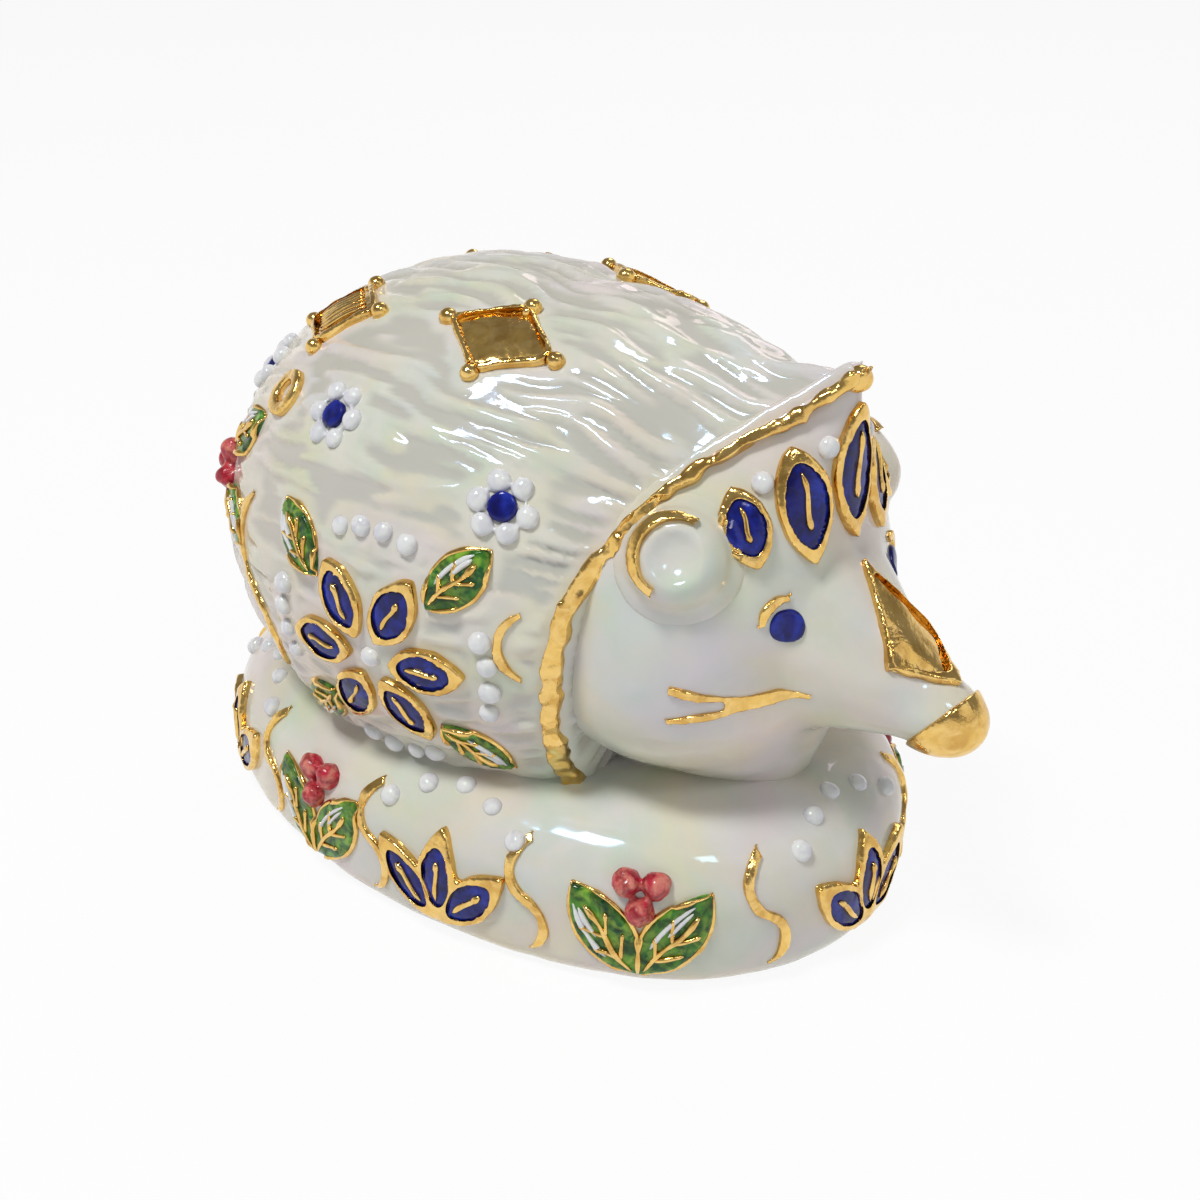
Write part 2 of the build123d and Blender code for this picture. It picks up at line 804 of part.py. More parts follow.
def cluster(plane, form, middle, first_angle):
    """Three berries around a flat point of a seat, the first one at an angle in degrees."""
    step_angles = [first_angle + 360 * step / 3 for step in range(3)]
    places = [middle + polar(berry_radius * berry_step_share, angle) for angle in step_angles]
    points = lay(form, plane, [(place.X, place.Y) for place in places])
    return drops(form, points, berry_radius, plane.z_dir)


with BuildPart() as rump_berries:
    add(cluster(rump_plane, egg_form(), Vector(0, 0), half_turn))
    mirror(about=Plane.XZ)
write(rump_berries, "rump_berries")

with BuildPart() as rump_leaves:
    add(relief(egg_form, enamel_height, rump_plane, rump_leaf_outlines))
    mirror(about=Plane.XZ)
write(rump_leaves, "rump_leaves")

# Plinth frieze: fans and sprigs by turns, with a scroll between neighbours

fan_yaws = [frieze_step * step for step in range(0, frieze_half_count + 1, 2)]
sprig_yaws = [frieze_step * step for step in range(1, frieze_half_count + 1, 2)]
scroll_yaws = [frieze_step * (step + 0.5) for step in range(frieze_half_count)]
upright = half_turn / 2
frieze_foot = Vector(0, -frieze_root)


def fan_outlines():
    """Draw three petals that rise from one root, inside their rims."""
    for swing in (-fan_spread, 0, fan_spread):
        leaf(frieze_foot, upright + swing, fan_petal_length, fan_petal_width, rim_width)


def fan_rim_outlines():
    """Draw the rims of the three petals."""
    for swing in (-fan_spread, 0, fan_spread):
        leaf_rim(frieze_foot, upright + swing, fan_petal_length, fan_petal_width)


def sprig_outlines():
    """Draw a pair of leaves that part from one root."""
    for swing in (-frieze_leaf_spread, frieze_leaf_spread):
        leaf(frieze_foot, upright + swing, frieze_leaf_length, frieze_leaf_width)


with BuildPart() as frieze_fan_rims:
    for yaw in fan_yaws:
        add(relief(plinth_form, rim_height, frieze_seat(yaw), fan_rim_outlines))
    mirror(about=Plane.XZ)
    add(mantle_form(), mode=Mode.SUBTRACT)
write(frieze_fan_rims, "frieze_fan_rims")

with BuildPart() as frieze_fans:
    for yaw in fan_yaws:
        add(relief(plinth_form, enamel_height, frieze_seat(yaw), fan_outlines))
    mirror(about=Plane.XZ)
    add(mantle_form(), mode=Mode.SUBTRACT)
    add(frieze_fan_rims.part, mode=Mode.SUBTRACT)
write(frieze_fans, "frieze_fans")

with BuildPart() as frieze_leaves:
    for yaw in sprig_yaws:
        add(relief(plinth_form, enamel_height, frieze_seat(yaw), sprig_outlines))
    mirror(about=Plane.XZ)
    add(mantle_form(), mode=Mode.SUBTRACT)
write(frieze_leaves, "frieze_leaves")

with BuildPart() as frieze_berries:
    for yaw in sprig_yaws:
        add(cluster(frieze_seat(yaw), plinth_form(), Vector(0, frieze_berry_lift), -upright))
    mirror(about=Plane.XZ)
write(frieze_berries, "frieze_berries")

with BuildPart() as frieze_pearls:
    for yaw in fan_yaws:
        plane = frieze_seat(yaw)
        places = []
        for step in range(frieze_pearl_count):
            swing = (step - (frieze_pearl_count - 1) / 2) * frieze_pearl_step
            places.append(frieze_foot + polar(frieze_pearl_ring, upright + swing))
        points = lay(plinth_form(), plane, [(place.X, place.Y) for place in places])
        add(drops(plinth_form(), points, pearl_radius, plane.z_dir))
    mirror(about=Plane.XZ)
    add(mantle_form(), mode=Mode.SUBTRACT)
    add(face_form(), mode=Mode.SUBTRACT)
write(frieze_pearls, "frieze_pearls")


def frieze_scroll():
    """Draw the line between two neighbours of the frieze."""
    scroll(frieze_scroll_length, frieze_scroll_bow)


with BuildPart() as frieze_scrolls:
    for yaw in scroll_yaws:
        plane = frieze_seat(yaw)
        add(relief(plinth_form, gilding_height, plane, frieze_scroll))
    mirror(about=Plane.XZ)
    for neighbour in (frieze_fan_rims, frieze_leaves, frieze_pearls):
        add(neighbour.part, mode=Mode.SUBTRACT)
write(frieze_scrolls, "frieze_scrolls")
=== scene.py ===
"""Dress the porcelain hedgehog figurine.

Glazed castings carry raised enamel, gilding and pearl drops, on a pale floor in soft light.
"""

from __future__ import annotations

import json
import logging
import math
from dataclasses import dataclass, field, replace
from enum import Enum
from typing import Callable, Iterable

import bmesh
import bpy
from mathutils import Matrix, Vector, noise
from mathutils.bvhtree import BVHTree

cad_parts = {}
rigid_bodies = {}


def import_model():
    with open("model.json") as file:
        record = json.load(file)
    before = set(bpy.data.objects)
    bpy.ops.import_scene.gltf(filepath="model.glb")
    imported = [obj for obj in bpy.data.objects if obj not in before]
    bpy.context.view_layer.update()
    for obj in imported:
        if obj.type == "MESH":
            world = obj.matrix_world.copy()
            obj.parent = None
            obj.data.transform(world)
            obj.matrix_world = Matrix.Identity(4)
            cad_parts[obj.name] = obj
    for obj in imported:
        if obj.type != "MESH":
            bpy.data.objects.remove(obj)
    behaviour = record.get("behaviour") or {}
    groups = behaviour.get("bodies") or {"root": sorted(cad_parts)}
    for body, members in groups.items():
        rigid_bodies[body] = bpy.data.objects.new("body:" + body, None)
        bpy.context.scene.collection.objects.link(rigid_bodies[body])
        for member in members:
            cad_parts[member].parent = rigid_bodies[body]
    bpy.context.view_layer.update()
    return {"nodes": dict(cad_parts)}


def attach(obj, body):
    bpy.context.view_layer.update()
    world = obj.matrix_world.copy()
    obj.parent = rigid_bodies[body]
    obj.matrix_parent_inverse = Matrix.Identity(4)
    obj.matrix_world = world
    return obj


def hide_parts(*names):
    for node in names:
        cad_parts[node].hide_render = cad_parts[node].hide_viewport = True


LOG = logging.getLogger("hedgehog")
MM = 0.001
BODY = "root"
SIDES = ("right", "left")
SIGNS = (-1.0, 1.0)
UP = Vector((0.0, 0.0, 1.0))
# Name of the groove mask, which carries painted shade into the quill grooves.
GROOVE = "groove"
GROOVE_DEPTH = 0.22 * MM
AXIS_HEIGHT = 37.7 * MM
RIM_STEP = 0.75 * MM
FIELD_SPREAD = 0.85 * MM
LINE_SPREAD = -0.12 * MM
PEARL_PRESS = 0.3
HALF_WAY = 0.5

Span = tuple[float, float]
Colour = tuple[float, float, float]


class Slot(Enum):
    """The record's material slots."""

    PORCELAIN = "porcelain_glaze"
    GOLD = "gilding"
    COBALT = "cobalt_enamel"
    LEAF = "leaf_enamel"
    BERRY = "berry_enamel"
    PEARL = "pearl_enamel"

    @property
    def finish(self) -> str:
        """Name the fired finish, apart from the frame's own plain material of the slot."""
        return f"{self.value}_fired"


class NodeTree:
    """A short way to add and join shader nodes."""

    def __init__(self, tree: bpy.types.NodeTree) -> None:
        """Keep the tree that is being filled."""
        self.tree = tree

    def add(self, kind: str, **values: object) -> bpy.types.Node:
        """Add a node and set its own properties.

        Args:
            kind: The node's type name.
            values: Properties of the node.

        Returns:
            The new node.
        """
        node = self.tree.nodes.new(kind)
        for name, value in values.items():
            setattr(node, name, value)
        return node

    def join(self, source: bpy.types.NodeSocket, target: bpy.types.NodeSocket) -> None:
        """Link an output to an input."""
        self.tree.links.new(source, target)

    def ramp(self, low: float, high: float) -> bpy.types.Node:
        """Add a ramp from black to white.

        Args:
            low: The value that turns black.
            high: The value that turns white.

        Returns:
            The ramp node.
        """
        node = self.add("ShaderNodeValToRGB")
        node.color_ramp.elements[0].position = low
        node.color_ramp.elements[1].position = high
        return node


class Effects:
    """The shader node groups that several finishes share."""

    patch_detail = 4.0
    patch_swirl = 0.8
    patch_edge = (0.42, 0.62)
    ripple_detail = 3.0
    ripple_band = (0.3, 0.7)

    def __init__(self) -> None:
        """Build the groups."""
        self.patches = self.tone_and_sheen_patches()
        self.ripple = self.fired_ripple()

    @staticmethod
    def group(name: str, inputs: dict[str, str], outputs: dict[str, str]) -> bpy.types.NodeTree:
        """Make an empty node group with named sockets.

        Args:
            name: The group's name.
            inputs: Input names with their socket types.
            outputs: Output names with their socket types.

        Returns:
            The new group.
        """
        group = bpy.data.node_groups.new(name, "ShaderNodeTree")
        for direction, sockets in (("INPUT", inputs), ("OUTPUT", outputs)):
            for socket, kind in sockets.items():
                group.interface.new_socket(socket, in_out=direction, socket_type=f"NodeSocket{kind}")
        return group

    def tone_and_sheen_patches(self) -> bpy.types.NodeTree:
        """Build the effect that washes a second colour over the ground in patches: brushed tone on the
        enamels, tint and painted sheen on the glaze, painted reflection on the gilding.

        Returns:
            The node group.
        """
        group = self.group(
            "tone_and_sheen_patches",
            {
                "Ground": "Color",
                "Wash": "Color",
                "Scale": "Float",
                "Amount": "Float",
                "Offset": "Vector",
            },
            {"Color": "Color", "Patch": "Float"},
        )
        nodes = NodeTree(group)
        source = nodes.add("NodeGroupInput")
        target = nodes.add("NodeGroupOutput")
        place = nodes.add("ShaderNodeTexCoord")
        shift = nodes.add("ShaderNodeVectorMath", operation="ADD")
        cloud = nodes.add("ShaderNodeTexNoise")
        cloud.inputs["Detail"].default_value = self.patch_detail
        cloud.inputs["Distortion"].default_value = self.patch_swirl
        nodes.join(place.outputs["Object"], shift.inputs[0])
        nodes.join(source.outputs["Offset"], shift.inputs[1])
        nodes.join(shift.outputs["Vector"], cloud.inputs["Vector"])
        nodes.join(source.outputs["Scale"], cloud.inputs["Scale"])
        edge = nodes.ramp(*self.patch_edge)
        nodes.join(cloud.outputs["Fac"], edge.inputs["Fac"])
        amount = nodes.add("ShaderNodeMath", operation="MULTIPLY")
        nodes.join(edge.outputs["Color"], amount.inputs[0])
        nodes.join(source.outputs["Amount"], amount.inputs[1])
        mix = nodes.add("ShaderNodeMix", data_type="RGBA")
        nodes.join(amount.outputs["Value"], mix.inputs["Factor"])
        nodes.join(source.outputs["Ground"], mix.inputs["A"])
        nodes.join(source.outputs["Wash"], mix.inputs["B"])
        nodes.join(mix.outputs["Result"], target.inputs["Color"])
        nodes.join(amount.outputs["Value"], target.inputs["Patch"])
        return group

    def fired_ripple(self) -> bpy.types.NodeTree:
        """Build the fine unevenness of a fired surface.

        Returns:
            The node group.
        """
        group = self.group(
            "fired_ripple",
            {"Scale": "Float", "Low": "Float", "High": "Float"},
            {"Roughness": "Float", "Height": "Float"},
        )
        nodes = NodeTree(group)
        source = nodes.add("NodeGroupInput")
        target = nodes.add("NodeGroupOutput")
        place = nodes.add("ShaderNodeTexCoord")
        cloud = nodes.add("ShaderNodeTexNoise")
        cloud.inputs["Detail"].default_value = self.ripple_detail
        nodes.join(place.outputs["Object"], cloud.inputs["Vector"])
        nodes.join(source.outputs["Scale"], cloud.inputs["Scale"])
        spread = nodes.add("ShaderNodeMapRange")
        spread.inputs["From Min"].default_value = self.ripple_band[0]
        spread.inputs["From Max"].default_value = self.ripple_band[1]
        nodes.join(cloud.outputs["Fac"], spread.inputs["Value"])
        nodes.join(source.outputs["Low"], spread.inputs["To Min"])
        nodes.join(source.outputs["High"], spread.inputs["To Max"])
        nodes.join(spread.outputs["Result"], target.inputs["Roughness"])
        nodes.join(cloud.outputs["Fac"], target.inputs["Height"])
        return group


@dataclass(frozen=True)
class Wash:
    """A colour that is washed over the ground in patches, as brushed tone on the enamels, as painted
    reflection on the gilding and partly as painted sheen on the glaze.
    """

    colour: Colour
    scale: float
    amount: float


@dataclass(frozen=True)
class Finish:
    """One fired finish: a ground colour with washes over it, any painted shade in its grooves, a gloss and a
    ripple.
    """

    slot: Slot
    ground: Colour
    washes: tuple[Wash, ...]
    gloss: Span
    ripple_scale: float
    ripple_depth: float
    metallic: float = 0.0
    coat: float = 0.0
    coat_roughness: float = 0.03
    shine: float = 0.5
    film: float = 0.0
    film_index: float = 1.4
    # The colour that the groove mask mixes in: painted shade in the grooves.
    groove_shade: Colour | None = None

    def material(self, effects: Effects) -> bpy.types.Material:
        """Build the finish as a material.

        Args:
            effects: The shared node groups.

        Returns:
            The new material.
        """
        material = bpy.data.materials.new(self.slot.finish)
        material.use_nodes = True
        nodes = NodeTree(material.node_tree)
        shader = material.node_tree.nodes["Principled BSDF"]
        colour = None
        for index, wash in enumerate(self.washes):
            patches = nodes.add("ShaderNodeGroup", node_tree=effects.patches)
            patches.inputs["Ground"].default_value = (*self.ground, 1.0)
            patches.inputs["Wash"].default_value = (*wash.colour, 1.0)
            patches.inputs["Scale"].default_value = wash.scale
            patches.inputs["Amount"].default_value = wash.amount
            patches.inputs["Offset"].default_value = (float(index), 0.0, 0.0)
            if colour is not None:
                nodes.join(colour, patches.inputs["Ground"])
            colour = patches.outputs["Color"]
        # Darken the grooves towards the groove colour: painted shade.
        if self.groove_shade is not None:
            groove = nodes.add("ShaderNodeAttribute", attribute_name=GROOVE)
            groove_shading = nodes.add("ShaderNodeMix", data_type="RGBA")
            groove_shading.inputs["B"].default_value = (*self.groove_shade, 1.0)
            nodes.join(groove.outputs["Fac"], groove_shading.inputs["Factor"])
            nodes.join(colour, groove_shading.inputs["A"])
            colour = groove_shading.outputs["Result"]
        nodes.join(colour, shader.inputs["Base Color"])
        ripple = nodes.add("ShaderNodeGroup", node_tree=effects.ripple)
        ripple.inputs["Scale"].default_value = self.ripple_scale
        ripple.inputs["Low"].default_value = self.gloss[0]
        ripple.inputs["High"].default_value = self.gloss[1]
        nodes.join(ripple.outputs["Roughness"], shader.inputs["Roughness"])
        bump = nodes.add("ShaderNodeBump")
        bump.inputs["Distance"].default_value = self.ripple_depth
        nodes.join(ripple.outputs["Height"], bump.inputs["Height"])
        nodes.join(bump.outputs["Normal"], shader.inputs["Normal"])
        shader.inputs["Metallic"].default_value = self.metallic
        shader.inputs["Specular IOR Level"].default_value = self.shine
        shader.inputs["Coat Weight"].default_value = self.coat
        shader.inputs["Coat Roughness"].default_value = self.coat_roughness
        shader.inputs["Thin Film Thickness"].default_value = self.film
        shader.inputs["Thin Film IOR"].default_value = self.film_index
        return material


FINISHES = (
    Finish(
        Slot.PORCELAIN,
        (0.74, 0.73, 0.64),
        (
            # Green, pink, yellow and lilac patches: a tint of the glaze, and partly painted sheen of its
            # iridescent lustre.
            Wash((0.55, 0.69, 0.5), 75.0, 0.6),
            Wash((0.78, 0.62, 0.63), 60.0, 0.42),
            Wash((0.78, 0.71, 0.45), 95.0, 0.42),
            Wash((0.64, 0.64, 0.74), 50.0, 0.35),
        ),
        gloss=(0.06, 0.14),
        ripple_scale=350.0,
        ripple_depth=0.05 * MM,
        coat=0.3,
        film=340.0,
        # Painted shade in the quill grooves.
        groove_shade=(0.57, 0.56, 0.49),
    ),
    Finish(
        Slot.GOLD,
        (0.82, 0.53, 0.15),
        # Dark brown and pale patches: painted reflection, standing in for the dark and bright zones that the
        # gilding mirrors.
        (Wash((0.4, 0.18, 0.035), 280.0, 0.45), Wash((0.95, 0.68, 0.27), 600.0, 0.5)),
        gloss=(0.07, 0.2),
        ripple_scale=900.0,
        ripple_depth=0.1 * MM,
        metallic=1.0,
    ),
    Finish(
        Slot.COBALT,
        (0.006, 0.008, 0.16),
        (Wash((0.014, 0.035, 0.4), 320.0, 0.85), Wash((0.002, 0.002, 0.045), 520.0, 0.7)),
        gloss=(0.07, 0.16),
        ripple_scale=700.0,
        ripple_depth=0.08 * MM,
        shine=0.35,
    ),
    Finish(
        Slot.LEAF,
        (0.005, 0.085, 0.016),
        (
            Wash((0.11, 0.36, 0.025), 330.0, 0.9),
            Wash((0.33, 0.52, 0.06), 620.0, 0.6),
            Wash((0.001, 0.025, 0.007), 480.0, 0.8),
        ),
        gloss=(0.07, 0.16),
        ripple_scale=700.0,
        ripple_depth=0.1 * MM,
        shine=0.35,
    ),
    Finish(
        Slot.BERRY,
        (0.52, 0.025, 0.05),
        (Wash((0.78, 0.3, 0.22), 560.0, 0.75), Wash((0.24, 0.006, 0.016), 700.0, 0.8)),
        gloss=(0.1, 0.25),
        ripple_scale=900.0,
        ripple_depth=0.1 * MM,
        shine=0.4,
    ),
    Finish(
        Slot.PEARL,
        (0.82, 0.82, 0.81),
        (Wash((0.62, 0.61, 0.68), 500.0, 0.55),),
        gloss=(0.1, 0.2),
        ripple_scale=900.0,
        ripple_depth=0.03 * MM,
        coat=0.5,
        film=380.0,
    ),
)


def ease(value: float, low: float, high: float) -> float:
    """Rise smoothly from 0 to 1 between two limits."""
    share = min(1.0, max(0.0, (value - low) / (high - low)))
    return share * share * (3.0 - 2.0 * share)


def evaluated_mesh(data: bpy.types.ID, voxel: float | None = None) -> bmesh.types.BMesh:
    """Turn a curve, or a closed mesh with a voxel remesh, into a fresh mesh.

    Args:
        data: A curve or a mesh, which is removed.
        voxel: The voxel's size in metres.

    Returns:
        The new mesh.
    """
    holder = bpy.data.objects.new("holder", data)
    bpy.context.scene.collection.objects.link(holder)
    if voxel is not None:
        modifier = holder.modifiers.new("voxels", "REMESH")
        modifier.mode = "VOXEL"
        modifier.voxel_size = voxel
    bpy.context.view_layer.update()
    graph = bpy.context.evaluated_depsgraph_get()
    result = bpy.data.meshes.new_from_object(holder.evaluated_get(graph))
    mesh = bmesh.new()
    mesh.from_mesh(result)
    bpy.data.objects.remove(holder)
    bpy.data.meshes.remove(result)
    bpy.data.batch_remove([data])
    return mesh


def remeshed(mesh: bmesh.types.BMesh, voxel: float) -> bmesh.types.BMesh:
    """Rebuild a closed mesh from even voxels.

    Args:
        mesh: The mesh, which is freed.
        voxel: The voxel's size in metres.

    Returns:
        The even mesh.
    """
    data = bpy.data.meshes.new("voxels")
    mesh.to_mesh(data)
    mesh.free()
    return evaluated_mesh(data, voxel)


def smooth(mesh: bmesh.types.BMesh, rounds: int, chosen: Callable[[Vector], bool] | None = None) -> None:
    """Even out a mesh, or the part of it that a test chooses.

    Args:
        mesh: The mesh to even out.
        rounds: How many times each vertex moves half way to its neighbours' middle.
        chosen: A test of a vertex's place.
    """
    verts = [vert for vert in mesh.verts if chosen is None or chosen(vert.co)]
    for _ in range(rounds):
        bmesh.ops.smooth_vert(
            mesh, verts=verts, factor=HALF_WAY, use_axis_x=True, use_axis_y=True, use_axis_z=True
        )


def islands(mesh: bmesh.types.BMesh) -> list[list[Vector]]:
    """Part a mesh into its connected solids.

    Args:
        mesh: The mesh to part.

    Returns:
        Each solid's vertex places.
    """
    seen = set()
    found = []
    for first in mesh.verts:
        if first in seen:
            continue
        seen.add(first)
        front = [first]
        places = []
        while front:
            vert = front.pop()
            places.append(vert.co.copy())
            for edge in vert.link_edges:
                other = edge.other_vert(vert)
                if other not in seen:
                    seen.add(other)
                    front.append(other)
        found.append(places)
    return found


def mesh_copies(pieces: Iterable[bpy.types.Object]) -> list[bmesh.types.BMesh]:
    """Copy the meshes of some pieces.

    Args:
        pieces: Finished pieces.

    Returns:
        Their meshes.
    """
    copies = []
    for piece in pieces:
        mesh = bmesh.new()
        mesh.from_mesh(piece.data)
        copies.append(mesh)
    return copies


def piece_from(
    mesh: bmesh.types.BMesh, name: str, slot: Slot, replaced: Iterable[str] = ()
) -> bpy.types.Object:
    """Make a finished piece of a mesh, hang it on the body, and hide the nodes that it stands for.

    Args:
        mesh: The mesh, which is freed.
        name: The piece's name.
        slot: Its material slot.
        replaced: The nodes that it stands for.

    Returns:
        The new object.
    """
    bmesh.ops.recalc_face_normals(mesh, faces=mesh.faces)
    for face in mesh.faces:
        face.smooth = True
    data = bpy.data.meshes.new(name)
    mesh.to_mesh(data)
    mesh.free()
    data.materials.append(bpy.data.materials[slot.finish])
    piece = bpy.data.objects.new(name, data)
    bpy.context.scene.collection.objects.link(piece)
    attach(piece, BODY)
    for node in replaced:
        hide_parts(node)
    LOG.info("%s: %d faces", name, len(data.polygons))
    return piece


class Cad:
    """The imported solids, read only."""

    merge_distance = 1e-6

    def __init__(self, nodes: dict[str, bpy.types.Object]) -> None:
        """Keep the nodes by name."""
        self.nodes = nodes

    def copy(self, node: str) -> bmesh.types.BMesh:
        """Copy a node's mesh with its loose triangles merged.

        Args:
            node: The node's name.

        Returns:
            A new mesh.
        """
        mesh = bmesh.new()
        mesh.from_mesh(self.nodes[node].data)
        bmesh.ops.remove_doubles(mesh, verts=mesh.verts, dist=self.merge_distance)
        return mesh

    def tree(self, names: Iterable[str]) -> BVHTree:
        """Join some nodes into one search tree.

        Args:
            names: The nodes' names.

        Returns:
            The search tree.
        """
        joined = bmesh.new()
        for name in names:
            joined.from_mesh(self.nodes[name].data)
        tree = BVHTree.FromBMesh(joined)
        joined.free()
        return tree


@dataclass(frozen=True)
class EggWall:
    """The egg that the body is cast around, and the thickness of its wall."""

    centre: Vector
    half_length: float = 41.0 * MM
    half_width: float = 32.6 * MM
    end_radius: float = 27.0 * MM
    wall: float = 3.5 * MM
    slack: float = 0.25 * MM

    def depth(self, place: Vector) -> float:
        """Give how deep a place lies under the egg's surface.

        Args:
            place: A place in the frame.

        Returns:
            The depth in metres, negative outside.
        """
        along = abs(place.x - self.centre.x)
        across = math.hypot(place.y - self.centre.y, place.z - self.centre.z)
        end = self.half_length - self.end_radius
        swell = self.half_width - self.end_radius
        side_radius = (end**2 + self.half_width**2 - self.end_radius**2) / (2 * swell)
        drop = side_radius - self.half_width
        if along * drop > end * (across + drop):
            return self.end_radius - math.hypot(along - end, across)
        return side_radius - math.hypot(along, across + drop)

    def lines_hollow(self, place: Vector) -> bool:
        """Tell whether a place lies on the hollow's own surface."""
        return self.depth(place) > self.wall - self.slack


@dataclass(frozen=True)
class Zone:
    """A stretch of the figurine, by its limits along X and Z."""

    along: Span
    height: Span

    def holds(self, place: Vector) -> bool:
        """Tell whether a place lies in the zone."""
        low, high = self.height
        return self.along[0] < place.x < self.along[1] and low < place.z < high


@dataclass
class Casting:
    """A glazed porcelain casting: the node's outer skin, softened and worked by hand."""

    node: str
    voxel: float
    rounds: int
    mates: tuple[str, ...] = ()
    seam_depth: float = 2.0 * MM
    seam_gap: float = 0.25 * MM
    seam_facing: float = -0.7
    blend: Zone | None = None
    blend_rounds: int = 0
    work: Callable[[Vector], float] | None = None
    hollow: bool = False
    # Whether the glaze gets painted shade in its quill grooves.
    shade_grooves: bool = False
    flare: float = 0.0
    flare_share: float = 1.3
    flare_power: int = 3
    flare_rounds: int = 3

    def skin(self, cad: Cad, wall: EggWall) -> tuple[bmesh.types.BMesh, list[bmesh.types.BMFace]]:
        """Copy the casting without its hollow, and find the faces that meet its neighbours.

        Args:
            cad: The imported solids.
            wall: The hollow's egg.

        Returns:
            The open skin, and its faces on the seams.
        """
        mesh = cad.copy(self.node)
        if self.hollow:
            inner = [face for face in mesh.faces if wall.lines_hollow(face.calc_center_median())]
            bmesh.ops.delete(mesh, geom=inner, context="FACES")
        mesh.normal_update()
        if not self.mates:
            return mesh, []
        neighbours = cad.tree(self.mates)
        seams = []
        for face in mesh.faces:
            _, normal, _, gap = neighbours.find_nearest(face.calc_center_median())
            if gap < self.seam_gap and normal.dot(face.normal) < self.seam_facing:
                seams.append(face)
        return mesh, seams

    def build(self, cad: Cad, wall: EggWall) -> bpy.types.Object:
        """Build the casting.

        Args:
            cad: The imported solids.
            wall: The hollow's egg.

        Returns:
            The finished piece.
        """
        mesh, seams = self.skin(cad, wall)
        sinks: dict[bmesh.types.BMVert, Vector] = {}
        for face in seams:
            for vert in face.verts:
                sinks[vert] = sinks.get(vert, Vector()) + face.normal * face.calc_area()
        for vert, way in sinks.items():
            vert.co += way.normalized() * self.seam_depth
        bmesh.ops.holes_fill(mesh, edges=[edge for edge in mesh.edges if edge.is_boundary], sides=0)
        bmesh.ops.triangulate(mesh, faces=mesh.faces)
        mesh = remeshed(mesh, self.voxel)
        smooth(mesh, self.rounds)
        if self.blend is not None:
            smooth(mesh, self.blend_rounds, self.blend.holds)
        if self.work is not None:
            mesh.normal_update()
            groove = mesh.verts.layers.float.new(GROOVE)
            moves = [(vert, self.work(vert.co)) for vert in mesh.verts]
            for vert, rise in moves:
                vert.co += vert.normal * rise
                # The deeper a vertex lies in a groove, the more painted shade it gets.
                vert[groove] = ease(-rise, 0.0, GROOVE_DEPTH) if self.shade_grooves else 0.0
        if self.flare:
            self.spread_foot(mesh, cad)
        for vert in mesh.verts:
            vert.co.z = max(vert.co.z, 0.0)
        return piece_from(mesh, f"{self.node}_glazed", Slot.PORCELAIN, [self.node])

    def spread_foot(self, mesh: bmesh.types.BMesh, cad: Cad) -> None:
        """Let the casting's foot run out softly over the casting that carries it.

        Args:
            mesh: The casting's mesh.
            cad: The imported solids.
        """
        ground = cad.tree(self.mates[:1])
        middle = sum((vert.co for vert in mesh.verts), Vector()) / len(mesh.verts)
        for vert in mesh.verts:
            foot, out, _, _ = ground.find_nearest(vert.co)
            share = 1.0 - min(1.0, max(0.0, (vert.co - foot).dot(out) / self.flare))
            away = vert.co - middle
            away -= out * away.dot(out)
            vert.co += away.normalized() * (self.flare_share * self.flare * share**self.flare_power)
        smooth(mesh, self.flare_rounds)


class Hosts:
    """The outer skins that the ornament lies on, before and after they are worked."""

    probe = 2.5 * MM
    limit = 1.0 * MM

    def __init__(self, plain: Iterable[bmesh.types.BMesh], worked: Iterable[bpy.types.Object]) -> None:
        """Build the two search trees.

        Args:
            plain: The castings' outer skins as the solids have them, which are freed.
            worked: The finished castings.
        """
        self.plain = self.joined(plain)
        self.worked = self.joined(mesh_copies(worked))

    @staticmethod
    def joined(meshes: Iterable[bmesh.types.BMesh]) -> BVHTree:
        """Join meshes into one search tree and free them.

        Args:
            meshes: The meshes.

        Returns:
            The search tree.
        """
        whole = bmesh.new()
        for mesh in meshes:
            data = bpy.data.meshes.new("skin")
            mesh.to_mesh(data)
            mesh.free()
            whole.from_mesh(data)
            bpy.data.meshes.remove(data)
        tree = BVHTree.FromBMesh(whole)
        whole.free()
        return tree

    def shift(self, place: Vector) -> Vector:
        """Give the way from the plain skin to the worked one near a place.

        Args:
            place: A place on or over the plain skin.

        Returns:
            The move.
        """
        foot, normal, _, _ = self.plain.find_nearest(place)
        hit, _, _, _ = self.worked.ray_cast(foot + normal * self.probe, -normal, 2 * self.probe)
        if hit is None or (hit - foot).length > self.limit:
            return Vector()
        return hit - foot


